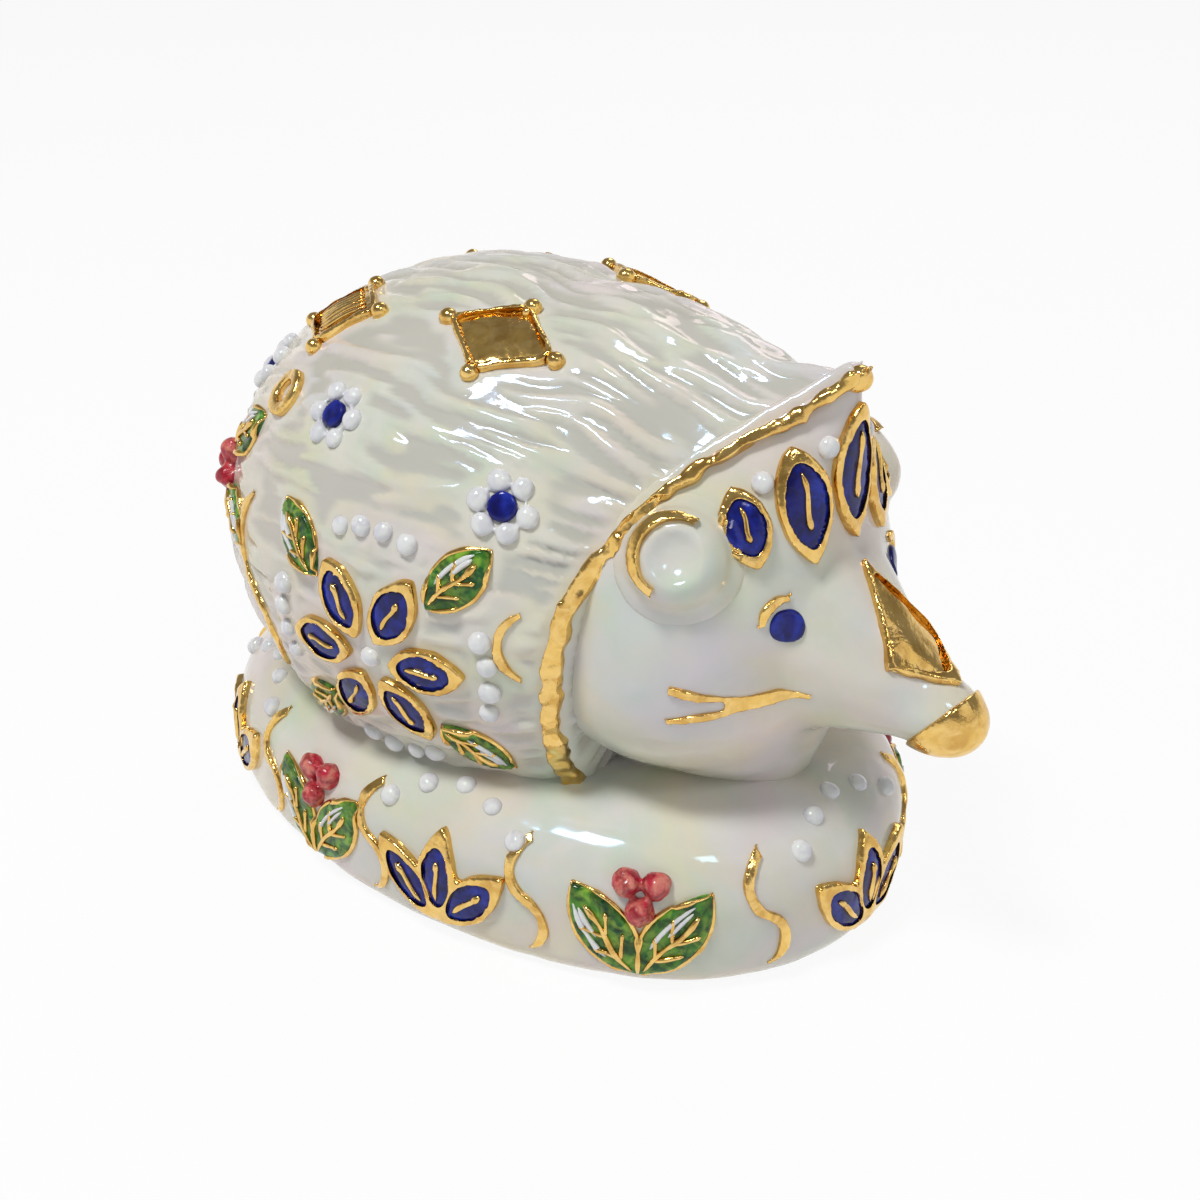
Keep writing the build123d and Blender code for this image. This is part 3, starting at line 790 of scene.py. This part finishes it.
@dataclass
class Laid:
    """Raised enamel, gilding or drops: a node's solids, softened as a brush or a tube leaves them."""

    node: str
    slot: Slot
    voxel: float = 0.24 * MM
    rounds: int = 3
    lump_size: float = 2.2 * MM
    lump_height: float = 0.08 * MM
    settle: int = 1
    spread: float = 0.0
    framed: str | None = None
    taper: float = 0.0
    end_count: int = 2
    press: float = 0.0
    hug: float = 0.0
    root_gap: float = 0.15 * MM
    root_depth: float = 0.7 * MM
    rim_band: Span = (0.35 * MM, 1.0 * MM)
    end_narrow: float = 0.5 * MM
    end_lower: float = 0.3 * MM

    @classmethod
    def both(cls, node: str, slot: Slot, **values: float) -> tuple[Laid, ...]:
        """Lay the same thing on the right side and on the left one."""
        return tuple(cls(f"{node}_{side}", slot, **values) for side in SIDES)

    def line_ends(self, mesh: bmesh.types.BMesh) -> list[Vector]:
        """Find the ends of each line, as the places that lie farthest apart.

        Args:
            mesh: The node's mesh.

        Returns:
            The ends of all its lines.
        """
        found = []
        for places in islands(mesh):
            middle = sum(places, Vector()) / len(places)
            ends = [max(places, key=lambda place: (place - middle).length)]
            while len(ends) < self.end_count:
                ends.append(max(places, key=lambda place: min((place - end).length for end in ends)))
            found.extend(ends)
        return found

    def build(self, cad: Cad, hosts: Hosts) -> bpy.types.Object:
        """Build the laid pieces on the worked glaze.

        Args:
            cad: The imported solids.
            hosts: The skins that carry them.

        Returns:
            The finished piece.
        """
        mesh = cad.copy(self.node)
        ends = self.line_ends(mesh) if self.taper else []
        field_tree = cad.tree([self.framed]) if self.framed else None
        for vert in mesh.verts:
            _, normal, _, gap = hosts.plain.find_nearest(vert.co)
            if gap < self.root_gap:
                vert.co -= normal * self.root_depth
        mesh = remeshed(mesh, self.voxel)
        smooth(mesh, self.rounds)
        mesh.normal_update()
        moves = []
        for vert in mesh.verts:
            foot, out, _, _ = hosts.plain.find_nearest(vert.co)
            facing = vert.normal.dot(out)
            side = vert.normal - out * facing
            move = hosts.shift(vert.co)
            move += vert.normal * (noise.noise(vert.co / self.lump_size) * self.lump_height)
            move += side * self.spread - out * (self.press * max(0.0, (vert.co - foot).dot(out)))
            if field_tree is not None:
                _, _, _, gap = field_tree.find_nearest(vert.co)
                move -= side * (RIM_STEP * (1.0 - ease(gap, *self.rim_band)))
            if ends:
                thin = 1.0 - ease(min((vert.co - end).length for end in ends), 0.0, self.taper)
                lower = self.end_lower * thin * max(0.0, facing)
                move -= side * (self.end_narrow * thin) + out * lower
            moves.append((vert, move))
        for vert, move in moves:
            vert.co += move
        for vert in mesh.verts if self.hug else ():
            foot, _, _, gap = hosts.worked.find_nearest(vert.co)
            if gap > self.hug:
                vert.co = foot + (vert.co - foot) * (self.hug / gap)
        smooth(mesh, self.settle)
        return piece_from(mesh, f"{self.node}_laid", self.slot, [self.node])


@dataclass(frozen=True)
class Blade:
    """One leaf or petal: its root, its tip, the way out of the glaze, and its width."""

    root: Vector
    tip: Vector
    out: Vector
    width: float

    @staticmethod
    def fitted(places: list[Vector], root: Vector, hosts: Hosts) -> Blade:
        """Fit a blade to a leaf's vertices.

        Args:
            places: The leaf's vertex places.
            root: A place near its root.
            hosts: The skins that carry it.

        Returns:
            The blade.
        """
        start = min(places, key=lambda place: (place - root).length)
        tip = max(places, key=lambda place: (place - start).length)
        middle = (start + tip) / 2
        _, out, _, _ = hosts.plain.find_nearest(middle)
        axis = (tip - start).normalized()
        side = out.cross(axis).normalized()
        width = 2 * max(abs((place - start).dot(side)) for place in places)
        return Blade(start, tip, out, width)

    def place(self, along: float, across: float = 0.0) -> Vector:
        """Give a place on the blade.

        Args:
            along: Share of the way from root to tip.
            across: Share of the half width there, positive to one side.

        Returns:
            The place.
        """
        side = self.out.cross(self.tip - self.root).normalized()
        swell = 4.0 * along * (1.0 - along)
        return self.root.lerp(self.tip, along) + side * (across * self.width / 2 * swell)


@dataclass
class Trails:
    """Thin lines trailed over the ornament from a fine tube, all of one colour."""

    name: str
    slot: Slot
    ground: BVHTree
    reach: float = 3.0 * MM
    fewest: int = 4
    thickness: float = 0.75
    waver: float = 0.35
    waver_size: float = 1.7 * MM
    drop_span: Span = (0.75, 0.93)
    tip: float = 0.3
    tip_growth: float = 4.0
    lift: float = 0.25
    facets: int = 2
    merge_distance: float = 0.01 * MM
    lines: list[list[tuple[Vector, float]]] = field(default_factory=list)

    def add(self, places: Iterable[Vector], out: Vector, radius: float, drop: float = 1.0) -> None:
        """Add one line, with a swollen end where the tube was lifted.

        Args:
            places: The line's way, near the ornament.
            out: The way out of the glaze.
            radius: The line's radius in metres.
            drop: How much thicker the line's end is.
        """
        laid = []
        for place in places:
            hit, _, _, _ = self.ground.ray_cast(place + out * self.reach, -out, 2 * self.reach)
            if hit is not None:
                laid.append(hit)
        count = len(laid)
        if count < self.fewest:
            return
        line = []
        for index, place in enumerate(laid):
            share = index / (count - 1)
            thick = self.thickness + self.waver * noise.noise(place / self.waver_size)
            thick += (drop - 1.0) * ease(share, *self.drop_span)
            end = min(1.0, self.tip + self.tip_growth * min(share, 1.0 - share))
            line.append((place + out * radius * self.lift, radius * thick * end))
        self.lines.append(line)

    def build(self) -> bpy.types.Object:
        """Build all the lines as one piece.

        Returns:
            The finished piece.
        """
        curve = bpy.data.curves.new(self.name, "CURVE")
        curve.dimensions = "3D"
        curve.bevel_depth = MM
        curve.bevel_resolution = self.facets
        curve.use_fill_caps = True
        for line in self.lines:
            spline = curve.splines.new("POLY")
            spline.points.add(len(line) - 1)
            for point, (place, radius) in zip(spline.points, line):
                point.co = (*place, 1.0)
                point.radius = radius / MM
        mesh = evaluated_mesh(curve)
        bmesh.ops.remove_doubles(mesh, verts=mesh.verts, dist=self.merge_distance)
        return piece_from(mesh, self.name, self.slot)


@dataclass
class PeakDrop:
    """The drop of gold that joins the two sides of the gilded edge at the point of the hood."""

    radius: float = 1.4 * MM
    sink: float = 0.7 * MM
    subdivisions: int = 4
    lump_size: float = 1.6 * MM
    lump_height: float = 0.25 * MM

    def build(self, mantle: bpy.types.Object) -> bpy.types.Object:
        """Set the drop on the finished mantle.

        Args:
            mantle: The glazed mantle.

        Returns:
            The finished piece.
        """
        lean = Vector((1.0, 0.0, 1.0)).normalized()
        peak = max((vert.co for vert in mantle.data.vertices), key=lambda place: place.dot(lean))
        middle = Vector((peak.x, 0.0, peak.z)) - lean * self.sink
        mesh = bmesh.new()
        bmesh.ops.create_icosphere(mesh, subdivisions=self.subdivisions, radius=self.radius)
        bmesh.ops.translate(mesh, verts=mesh.verts, vec=middle)
        mesh.normal_update()
        for vert in mesh.verts:
            vert.co += vert.normal * (noise.noise(vert.co / self.lump_size) * self.lump_height)
        return piece_from(mesh, "hood_peak_drop", Slot.GOLD)


@dataclass
class QuillCoat:
    """The wavy quill ridges that are modelled over the mantle, clear of the ornament."""

    ornament: BVHTree
    length: float = 11.0 * MM
    width: float = 1.7 * MM
    height: float = 0.65 * MM
    base: float = 0.35
    girth_radius: float = 30.0 * MM
    sway: float = 0.9
    sway_length: float = 9.0 * MM
    sway_turn: float = 2.5
    sway_layer: float = 3.0
    crest_band: Span = (-0.25, 0.55)
    fine: float = 0.45
    fine_scale: Span = (2.1, 1.7)
    fine_layer: float = 7.0
    tuft_size: float = 2.6 * MM
    tuft_band: Span = (-0.3, 0.5)
    pole_band: Span = (5.0 * MM, 17.0 * MM)
    clearance: Span = (0.2 * MM, 2.2 * MM)

    def rise(self, place: Vector) -> float:
        """Give how far the glaze rises at a place.

        Args:
            place: A place on the smooth mantle.

        Returns:
            The rise in metres.
        """
        angle = math.atan2(place.y, place.z - AXIS_HEIGHT)
        bend = Vector((place.x / self.sway_length, angle * self.sway_turn, self.sway_layer))
        across = angle * self.girth_radius / self.width + noise.noise(bend) * self.sway
        along = place.x / self.length
        ridge = noise.noise(Vector((along, across, 0.0)))
        close = Vector((along * self.fine_scale[0], across * self.fine_scale[1], self.fine_layer))
        crest = ease(ridge + self.fine * noise.noise(close), *self.crest_band)
        tuft = ease(noise.noise(place / self.tuft_size), *self.tuft_band)
        girth = ease(math.hypot(place.y, place.z - AXIS_HEIGHT), *self.pole_band)
        _, _, _, gap = self.ornament.find_nearest(place)
        share = tuft + (crest - tuft) * girth - self.base
        return self.height * share * ease(gap, *self.clearance)


@dataclass
class HandWork:
    """The slow unevenness of a casting that was fettled by hand."""

    ornament: BVHTree
    slow_size: float = 11.0 * MM
    slow_height: float = 0.3 * MM
    quick_size: float = 4.0 * MM
    quick_height: float = 0.08 * MM
    quick_offset: float = 5.0
    clearance: Span = (0.2 * MM, 3.0 * MM)

    def rise(self, place: Vector) -> float:
        """Give how far the glaze rises at a place.

        Args:
            place: A place on the smooth casting.

        Returns:
            The rise in metres.
        """
        slow = noise.noise(place / self.slow_size) * self.slow_height
        offset = Vector((self.quick_offset, 0.0, 0.0))
        quick = noise.noise(place / self.quick_size + offset) * self.quick_height
        _, _, _, gap = self.ornament.find_nearest(place)
        return (slow + quick) * ease(gap, *self.clearance)


class Figurine:
    """The whole figurine: castings first, then what is laid on their glaze, then the trailed lines."""

    egg_centre = (-5.0 * MM, 0.0, AXIS_HEIGHT)
    hood_root = Zone((-16.0 * MM, 20.0 * MM), (46.0 * MM, math.inf))
    snout_root = Zone((36.0 * MM, 52.0 * MM), (22.0 * MM, 52.0 * MM))
    carriers = {
        "back": "body_mantle",
        "flank": "body_mantle",
        "rump": "body_mantle",
        "frieze": "base_plinth",
    }
    laid = (
        Laid("nose_gilding", Slot.GOLD, lump_height=0.05 * MM),
        Laid("snout_panel", Slot.GOLD, lump_size=4.0 * MM, lump_height=0.35 * MM, spread=FIELD_SPREAD),
        Laid("snout_panel_rim", Slot.GOLD, lump_height=0.2 * MM, framed="snout_panel"),
        *Laid.both("eye", Slot.COBALT, rounds=9, lump_height=0.2 * MM, spread=0.2 * MM),
        *Laid.both("brow_line", Slot.GOLD, spread=LINE_SPREAD, taper=2.5 * MM),
        *Laid.both("mouth_line", Slot.GOLD, lump_height=0.15 * MM, taper=7.0 * MM, end_count=3),
        *Laid.both("ear_arc", Slot.GOLD, spread=LINE_SPREAD, taper=5.0 * MM),
        Laid(
            "quill_edge_gilding", Slot.GOLD, lump_size=1.7 * MM, lump_height=0.5 * MM, settle=4, hug=1.1 * MM
        ),
        Laid("forehead_lappets", Slot.COBALT, lump_height=0.05 * MM, spread=FIELD_SPREAD),
        Laid("forehead_lappet_rims", Slot.GOLD, lump_height=0.2 * MM, framed="forehead_lappets"),
        Laid("forehead_pearls", Slot.PEARL, press=PEARL_PRESS),
        Laid("back_lozenges", Slot.GOLD, lump_size=4.0 * MM, lump_height=0.35 * MM, spread=FIELD_SPREAD),
        Laid("back_lozenge_rims", Slot.GOLD, lump_height=0.2 * MM, framed="back_lozenges"),
        Laid("back_lozenge_beads", Slot.GOLD, lump_height=0.15 * MM),
        Laid(
            "back_flower_pearls", Slot.PEARL, lump_size=3.3 * MM, lump_height=0.3 * MM, press=PEARL_PRESS
        ),
        Laid("back_flower_centres", Slot.COBALT),
        Laid("back_bosses", Slot.GOLD, lump_height=0.2 * MM),
        Laid("flank_petals", Slot.COBALT, lump_height=0.05 * MM, spread=FIELD_SPREAD),
        Laid("flank_petal_rims", Slot.GOLD, lump_height=0.2 * MM, framed="flank_petals"),
        Laid("flank_leaves", Slot.LEAF, lump_height=0.12 * MM),
        Laid("flank_pearls", Slot.PEARL, lump_size=3.3 * MM, lump_height=0.35 * MM, press=PEARL_PRESS),
        Laid("flank_scrolls", Slot.GOLD, lump_height=0.2 * MM, spread=LINE_SPREAD, taper=4.0 * MM),
        Laid("rump_leaves", Slot.LEAF, lump_height=0.12 * MM),
        Laid("rump_berries", Slot.BERRY, lump_size=1.2 * MM, lump_height=0.3 * MM),
        Laid("frieze_fans", Slot.COBALT, lump_height=0.05 * MM, spread=FIELD_SPREAD),
        Laid("frieze_fan_rims", Slot.GOLD, lump_height=0.2 * MM, framed="frieze_fans"),
        Laid("frieze_leaves", Slot.LEAF, lump_height=0.12 * MM),
        Laid("frieze_berries", Slot.BERRY, lump_size=1.2 * MM, lump_height=0.3 * MM),
        Laid("frieze_pearls", Slot.PEARL, lump_size=3.3 * MM, lump_height=0.35 * MM, press=PEARL_PRESS),
        Laid("frieze_scrolls", Slot.GOLD, lump_height=0.2 * MM, spread=LINE_SPREAD, taper=4.0 * MM),
    )

    def __init__(self, cad: Cad) -> None:
        """Keep the solids, and set out the castings.

        Args:
            cad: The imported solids.
        """
        self.cad = cad
        self.wall = EggWall(Vector(self.egg_centre))
        ornament = cad.tree(item.node for item in self.laid)
        hand = HandWork(ornament)
        self.castings = (
            Casting(
                "body_mantle",
                voxel=0.49 * MM,
                rounds=6,
                blend=self.hood_root,
                blend_rounds=40,
                work=QuillCoat(ornament).rise,
                hollow=True,
                shade_grooves=True,
            ),
            Casting(
                "head_face",
                voxel=0.45 * MM,
                rounds=5,
                mates=("body_mantle",),
                seam_depth=2.5 * MM,
                blend=self.snout_root,
                blend_rounds=30,
                work=hand.rise,
            ),
            Casting(
                "base_plinth", voxel=0.55 * MM, rounds=4, mates=("body_mantle", "head_face"), work=hand.rise
            ),
            *(
                Casting(
                    f"ear_{side}",
                    voxel=0.3 * MM,
                    rounds=6,
                    mates=("head_face", "body_mantle"),
                    seam_depth=1.5 * MM,
                    flare=1.2 * MM,
                )
                for side in SIDES
            ),
        )

    def bare_skin(self, casting: Casting) -> bmesh.types.BMesh:
        """Copy a casting's skin without the faces that meet any other casting.

        Args:
            casting: The casting.

        Returns:
            The open skin.
        """
        others = tuple(other.node for other in self.castings if other is not casting)
        mesh, seams = replace(casting, mates=others).skin(self.cad, self.wall)
        bmesh.ops.delete(mesh, geom=seams, context="FACES")
        return mesh

    def build(self) -> None:
        """Build all the pieces."""
        glazed = [casting.build(self.cad, self.wall) for casting in self.castings]
        skins = [self.bare_skin(casting) for casting in self.castings]
        alone = {
            casting.node: Hosts([skin.copy()], [piece])
            for casting, skin, piece in zip(self.castings, skins, glazed)
        }
        hosts = Hosts(skins, glazed)
        pieces = list(glazed)
        for item in self.laid:
            carrier = self.carriers.get(item.node.split("_")[0])
            pieces.append(item.build(self.cad, alone.get(carrier, hosts)))
        PeakDrop().build(glazed[0])
        Brushwork(self.cad, hosts, Hosts.joined(mesh_copies(pieces))).build()


class Brushwork:
    """Veins, leaf outlines, highlights and hatching over the laid enamel."""

    steps = 14
    vein_radius = 0.42 * MM
    vein_span = (0.08, 0.72)
    vein_bend = 0.12
    vein_waves = 7.0
    vein_drop = 1.7
    side_radius = 0.8 * vein_radius
    side_first = 0.22
    side_spacing = 0.24
    side_length = 0.2
    side_reach = 0.66
    side_drop = 1.4
    leaf_sides = 2
    rim_radius = 0.45 * MM
    rim_reach = 1.02
    light_radius = 0.35 * MM
    light_strokes = ((0.55, 0.3, 0.85), (0.3, 0.5, 0.8))
    hatch_lines = 7
    hatch_span = (0.04, 0.92)
    hatch_limit = -8.0 * MM
    pair_overlap = 0.2 * MM

    def __init__(self, cad: Cad, hosts: Hosts, ground: BVHTree) -> None:
        """Keep the surfaces that carry the lines.

        Args:
            cad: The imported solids.
            hosts: The castings' skins.
            ground: All the finished surfaces.
        """
        self.cad = cad
        self.hosts = hosts
        self.ground = ground

    def shares(self, start: float, length: float, steps: int = steps) -> list[float]:
        """Give even shares of a line's way.

        Args:
            start: The first share.
            length: How far the last share lies from it.
            steps: The number of steps between them.

        Returns:
            The shares.
        """
        return [start + length * step / steps for step in range(steps + 1)]

    def solids(self, node: str) -> list[list[Vector]]:
        """Give the vertex places of each solid in a node.

        Args:
            node: The node's name.

        Returns:
            One list a solid.
        """
        mesh = self.cad.copy(node)
        found = islands(mesh)
        mesh.free()
        return found

    def blades(self, node: str, root_of: Callable[[list[Vector]], Vector]) -> list[Blade]:
        """Fit a blade to each solid of a node.

        Args:
            node: The node's name.
            root_of: A rule that gives a place near a solid's root.

        Returns:
            The blades.
        """
        return [Blade.fitted(places, root_of(places), self.hosts) for places in self.solids(node)]

    def pairs(self, node: str) -> list[Blade]:
        """Fit two blades to each solid of a node whose leaves part from one low root.

        Args:
            node: The node's name.

        Returns:
            The blades.
        """
        found = []
        for places in self.solids(node):
            root = min(places, key=lambda place: place.z)
            _, out, _, _ = self.hosts.plain.find_nearest(sum(places, Vector()) / len(places))
            side = UP.cross(out).normalized()
            for sign in SIGNS:
                half = [place for place in places if sign * (place - root).dot(side) > -self.pair_overlap]
                found.append(Blade.fitted(half, root, self.hosts))
        return found

    def vein(self, trails: Trails, blade: Blade, side_veins: int) -> None:
        """Trail a blade's veins.

        Args:
            trails: The lines that get them.
            blade: The blade.
            side_veins: How many veins branch off to each side.
        """
        way = [
            blade.place(share, self.vein_bend * math.sin(self.vein_waves * share))
            for share in self.shares(*self.vein_span)
        ]
        trails.add(way, blade.out, self.vein_radius, self.vein_drop)
        for index in range(side_veins):
            along = self.shares(self.side_first + self.side_spacing * index, self.side_length)
            for sign in SIGNS:
                way = list(map(blade.place, along, self.shares(0.0, sign * self.side_reach)))
                trails.add(way, blade.out, self.side_radius, self.side_drop)

    def outline(self, trails: Trails, blade: Blade) -> None:
        """Trail a line round a blade's edge.

        Args:
            trails: The lines that get it.
            blade: The blade.
        """
        span = self.shares(0.0, 1.0, 2 * self.steps)
        for sign in SIGNS:
            way = [blade.place(share, sign * self.rim_reach) for share in span]
            trails.add(way, blade.out, self.rim_radius)

    def highlight(self, trails: Trails, blade: Blade) -> None:
        """Brush a pale stroke along one half of a blade.

        Args:
            trails: The lines that get it.
            blade: The blade.
        """
        for across, first, last in self.light_strokes:
            way = [blade.place(share, across) for share in self.shares(first, last - first)]
            trails.add(way, blade.out, self.light_radius)

    def hatch(self, trails: Trails, places: list[Vector]) -> None:
        """Trail close lines across a lozenge.

        Args:
            trails: The lines that get them.
            places: The lozenge's vertex places.
        """
        middle = sum(places, Vector()) / len(places)
        _, out, _, _ = self.hosts.plain.find_nearest(middle)
        first = max(places, key=lambda place: (place - middle).length)
        far = max(places, key=lambda place: (place - first).length)
        side = out.cross(far - first).normalized()
        left = max(places, key=lambda place: (place - middle).dot(side))
        right = min(places, key=lambda place: (place - middle).dot(side))
        for line in range(1, self.hatch_lines):
            start = first.lerp(right, line / self.hatch_lines)
            end = left.lerp(far, line / self.hatch_lines)
            way = [start.lerp(end, share) for share in self.shares(*self.hatch_span)]
            trails.add(way, out, self.vein_radius)

    def build(self) -> None:
        """Build all the lines."""
        gold = Trails("trailed_gold_veins", Slot.GOLD, self.ground)
        edges = Trails("trailed_gold_outlines", Slot.GOLD, self.ground)
        lights = Trails("brushed_white_lights", Slot.PEARL, self.ground)
        hatching = Trails("trailed_lozenge_hatching", Slot.GOLD, self.ground)
        flank_root = self.nearer_middle("flank_petals")
        petals = [
            *self.blades("forehead_lappets", lambda places: max(places, key=lambda place: place.z)),
            *self.blades("flank_petals", flank_root),
            *self.blades("frieze_fans", lambda places: min(places, key=lambda place: place.z)),
        ]
        leaves = [
            *self.blades("flank_leaves", flank_root),
            *self.blades("rump_leaves", self.nearer_middle("rump_berries")),
            *self.pairs("frieze_leaves"),
        ]
        for blade in petals:
            self.vein(gold, blade, 0)
        for blade in leaves:
            self.vein(gold, blade, self.leaf_sides)
            self.outline(edges, blade)
            self.highlight(lights, blade)
        for places in self.solids("back_lozenges"):
            if max(place.x for place in places) < self.hatch_limit:
                self.hatch(hatching, places)
        for trails in (gold, edges, lights, hatching):
            trails.build()

    def nearer_middle(self, node: str) -> Callable[[list[Vector]], Vector]:
        """Make a rule that roots a solid at the nearer of a node's middles on the two sides.

        Args:
            node: The node's name.

        Returns:
            The rule.
        """
        middles = [self.middle(node, sign) for sign in SIGNS]
        return lambda places: min(middles, key=lambda middle: (middle - places[0]).length)

    def middle(self, node: str, sign: float) -> Vector:
        """Give the middle of a node's vertices on one side.

        Args:
            node: The node's name.
            sign: The side, as the sign of Y.

        Returns:
            The middle.
        """
        low, high = Vector((math.inf,) * 3), Vector((-math.inf,) * 3)
        for vert in self.cad.nodes[node].data.vertices:
            if vert.co.y * sign > 0.0:
                low = Vector(map(min, low, vert.co))
                high = Vector(map(max, high, vert.co))
        return (low + high) / 2


@dataclass(frozen=True)
class Lamp:
    """A soft square lamp, and its place round the figurine."""

    name: str
    azimuth: float
    elevation: float
    distance: float
    size: float
    power: float


@dataclass
class Studio:
    """Floor, lamps, surround and camera."""

    target: Vector = field(default_factory=lambda: Vector((0.0, 0.0, 30.0 * MM)))
    azimuth: float = 41.16
    elevation: float = 26.0
    distance: float = 210.0 * MM
    lens: float = 50.6
    sensor: float = 36.0
    shift: Span = (0.0376, -0.0092)
    clip_start: float = 0.01
    lamps: tuple[Lamp, ...] = (
        Lamp("key", -10.0, 64.0, 0.7, 0.15, 2.9),
        Lamp("window", 62.0, 52.0, 0.8, 0.12, 0.5),
        Lamp("fill", 100.0, 35.0, 0.8, 0.5, 0.5),
        Lamp("back", 200.0, 45.0, 0.8, 0.3, 0.8),
    )
    floor_size: float = 6.0
    floor_colour: Colour = (0.9, 0.9, 0.9)
    floor_roughness: float = 0.9
    floor_glow: float = 0.92
    sky_band: Span = (0.06, 0.42)
    sky_low: Colour = (1.0, 1.0, 1.0)
    sky_high: Colour = (0.26, 0.26, 0.27)
    sky_light: Span = (0.6, 1.0)

    @staticmethod
    def direction(azimuth: float, elevation: float) -> Vector:
        """Give the unit direction from the target towards a viewer or a lamp.

        Args:
            azimuth: Degrees from the right side towards the nose.
            elevation: Degrees above the floor.

        Returns:
            The direction.
        """
        turn, rise = math.radians(azimuth), math.radians(elevation)
        level = math.cos(rise)
        return Vector((math.sin(turn) * level, -math.cos(turn) * level, math.sin(rise)))

    def hang(
        self, data: bpy.types.ID, azimuth: float, elevation: float, distance: float
    ) -> bpy.types.Object:
        """Put a camera or a lamp round the target, looking at it.

        Args:
            data: The camera or the light.
            azimuth: Its direction in degrees.
            elevation: Its height in degrees.
            distance: Its distance in metres.

        Returns:
            The new object.
        """
        item = bpy.data.objects.new(data.name, data)
        toward = self.direction(azimuth, elevation)
        item.location = self.target + toward * distance
        item.rotation_euler = toward.to_track_quat("Z", "Y").to_euler()
        bpy.context.scene.collection.objects.link(item)
        return item

    def camera(self) -> None:
        """Set the camera at the photograph's view."""
        data = bpy.data.cameras.new("camera")
        data.lens = self.lens
        data.sensor_width = self.sensor
        data.shift_x, data.shift_y = self.shift
        data.clip_start = self.clip_start
        bpy.context.scene.camera = self.hang(data, self.azimuth, self.elevation, self.distance)

    def hang_lamps(self) -> None:
        """Hang the soft lamps."""
        for lamp in self.lamps:
            data = bpy.data.lights.new(lamp.name, "AREA")
            data.energy = lamp.power
            data.size = lamp.size
            self.hang(data, lamp.azimuth, lamp.elevation, lamp.distance)

    @staticmethod
    def seen(nodes: NodeTree) -> bpy.types.NodeSocket:
        """Give 1 where a camera, glossy or transmission ray looks.

        Args:
            nodes: The tree that gets the nodes.

        Returns:
            The mask's output.
        """
        path = nodes.add("ShaderNodeLightPath")
        first = nodes.add("ShaderNodeMath", operation="MAXIMUM")
        second = nodes.add("ShaderNodeMath", operation="MAXIMUM")
        nodes.join(path.outputs["Is Camera Ray"], first.inputs[0])
        nodes.join(path.outputs["Is Glossy Ray"], first.inputs[1])
        nodes.join(first.outputs["Value"], second.inputs[0])
        nodes.join(path.outputs["Is Transmission Ray"], second.inputs[1])
        return second.outputs["Value"]

    def floor(self) -> None:
        """Lay the pale floor, which keeps the figurine's shadow."""
        mesh = bmesh.new()
        bmesh.ops.create_grid(mesh, x_segments=1, y_segments=1, size=self.floor_size)
        data = bpy.data.meshes.new("floor")
        mesh.to_mesh(data)
        mesh.free()
        floor = bpy.data.objects.new("floor", data)
        bpy.context.scene.collection.objects.link(floor)
        material = bpy.data.materials.new("floor_paper")
        material.use_nodes = True
        nodes = NodeTree(material.node_tree)
        shader = material.node_tree.nodes["Principled BSDF"]
        shader.inputs["Base Color"].default_value = (*self.floor_colour, 1.0)
        shader.inputs["Roughness"].default_value = self.floor_roughness
        glow = nodes.add("ShaderNodeEmission")
        weight = nodes.add("ShaderNodeMath", operation="MULTIPLY")
        weight.inputs[1].default_value = self.floor_glow
        nodes.join(self.seen(nodes), weight.inputs[0])
        mix = nodes.add("ShaderNodeMixShader")
        nodes.join(weight.outputs["Value"], mix.inputs["Fac"])
        nodes.join(shader.outputs["BSDF"], mix.inputs[1])
        nodes.join(glow.outputs["Emission"], mix.inputs[2])
        nodes.join(mix.outputs["Shader"], material.node_tree.nodes["Material Output"].inputs["Surface"])
        data.materials.append(material)

    def world(self) -> None:
        """Set the white surround and its soft light."""
        world = bpy.data.worlds.new("surround")
        bpy.context.scene.world = world
        world.use_nodes = True
        nodes = NodeTree(world.node_tree)
        background = world.node_tree.nodes["Background"]
        place = nodes.add("ShaderNodeTexCoord")
        height = nodes.add("ShaderNodeSeparateXYZ")
        nodes.join(place.outputs["Generated"], height.inputs["Vector"])
        sky = nodes.ramp(*self.sky_band)
        sky.color_ramp.elements[0].color = (*self.sky_low, 1.0)
        sky.color_ramp.elements[1].color = (*self.sky_high, 1.0)
        nodes.join(height.outputs["Z"], sky.inputs["Fac"])
        nodes.join(sky.outputs["Color"], background.inputs["Color"])
        strength = nodes.add("ShaderNodeMapRange")
        strength.inputs["To Min"].default_value = self.sky_light[0]
        strength.inputs["To Max"].default_value = self.sky_light[1]
        nodes.join(self.seen(nodes), strength.inputs["Value"])
        nodes.join(strength.outputs["Result"], background.inputs["Strength"])

    def build(self) -> None:
        """Build the whole studio."""
        self.camera()
        self.hang_lamps()
        self.floor()
        self.world()
        bpy.context.scene.view_settings.view_transform = "Standard"


def main() -> None:
    """Load the frame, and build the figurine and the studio."""
    logging.basicConfig(level=logging.INFO, format="%(message)s")
    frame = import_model()
    effects = Effects()
    for finish in FINISHES:
        finish.material(effects)
    Figurine(Cad(frame["nodes"])).build()
    Studio().build()


if __name__ == "__main__":
    main()
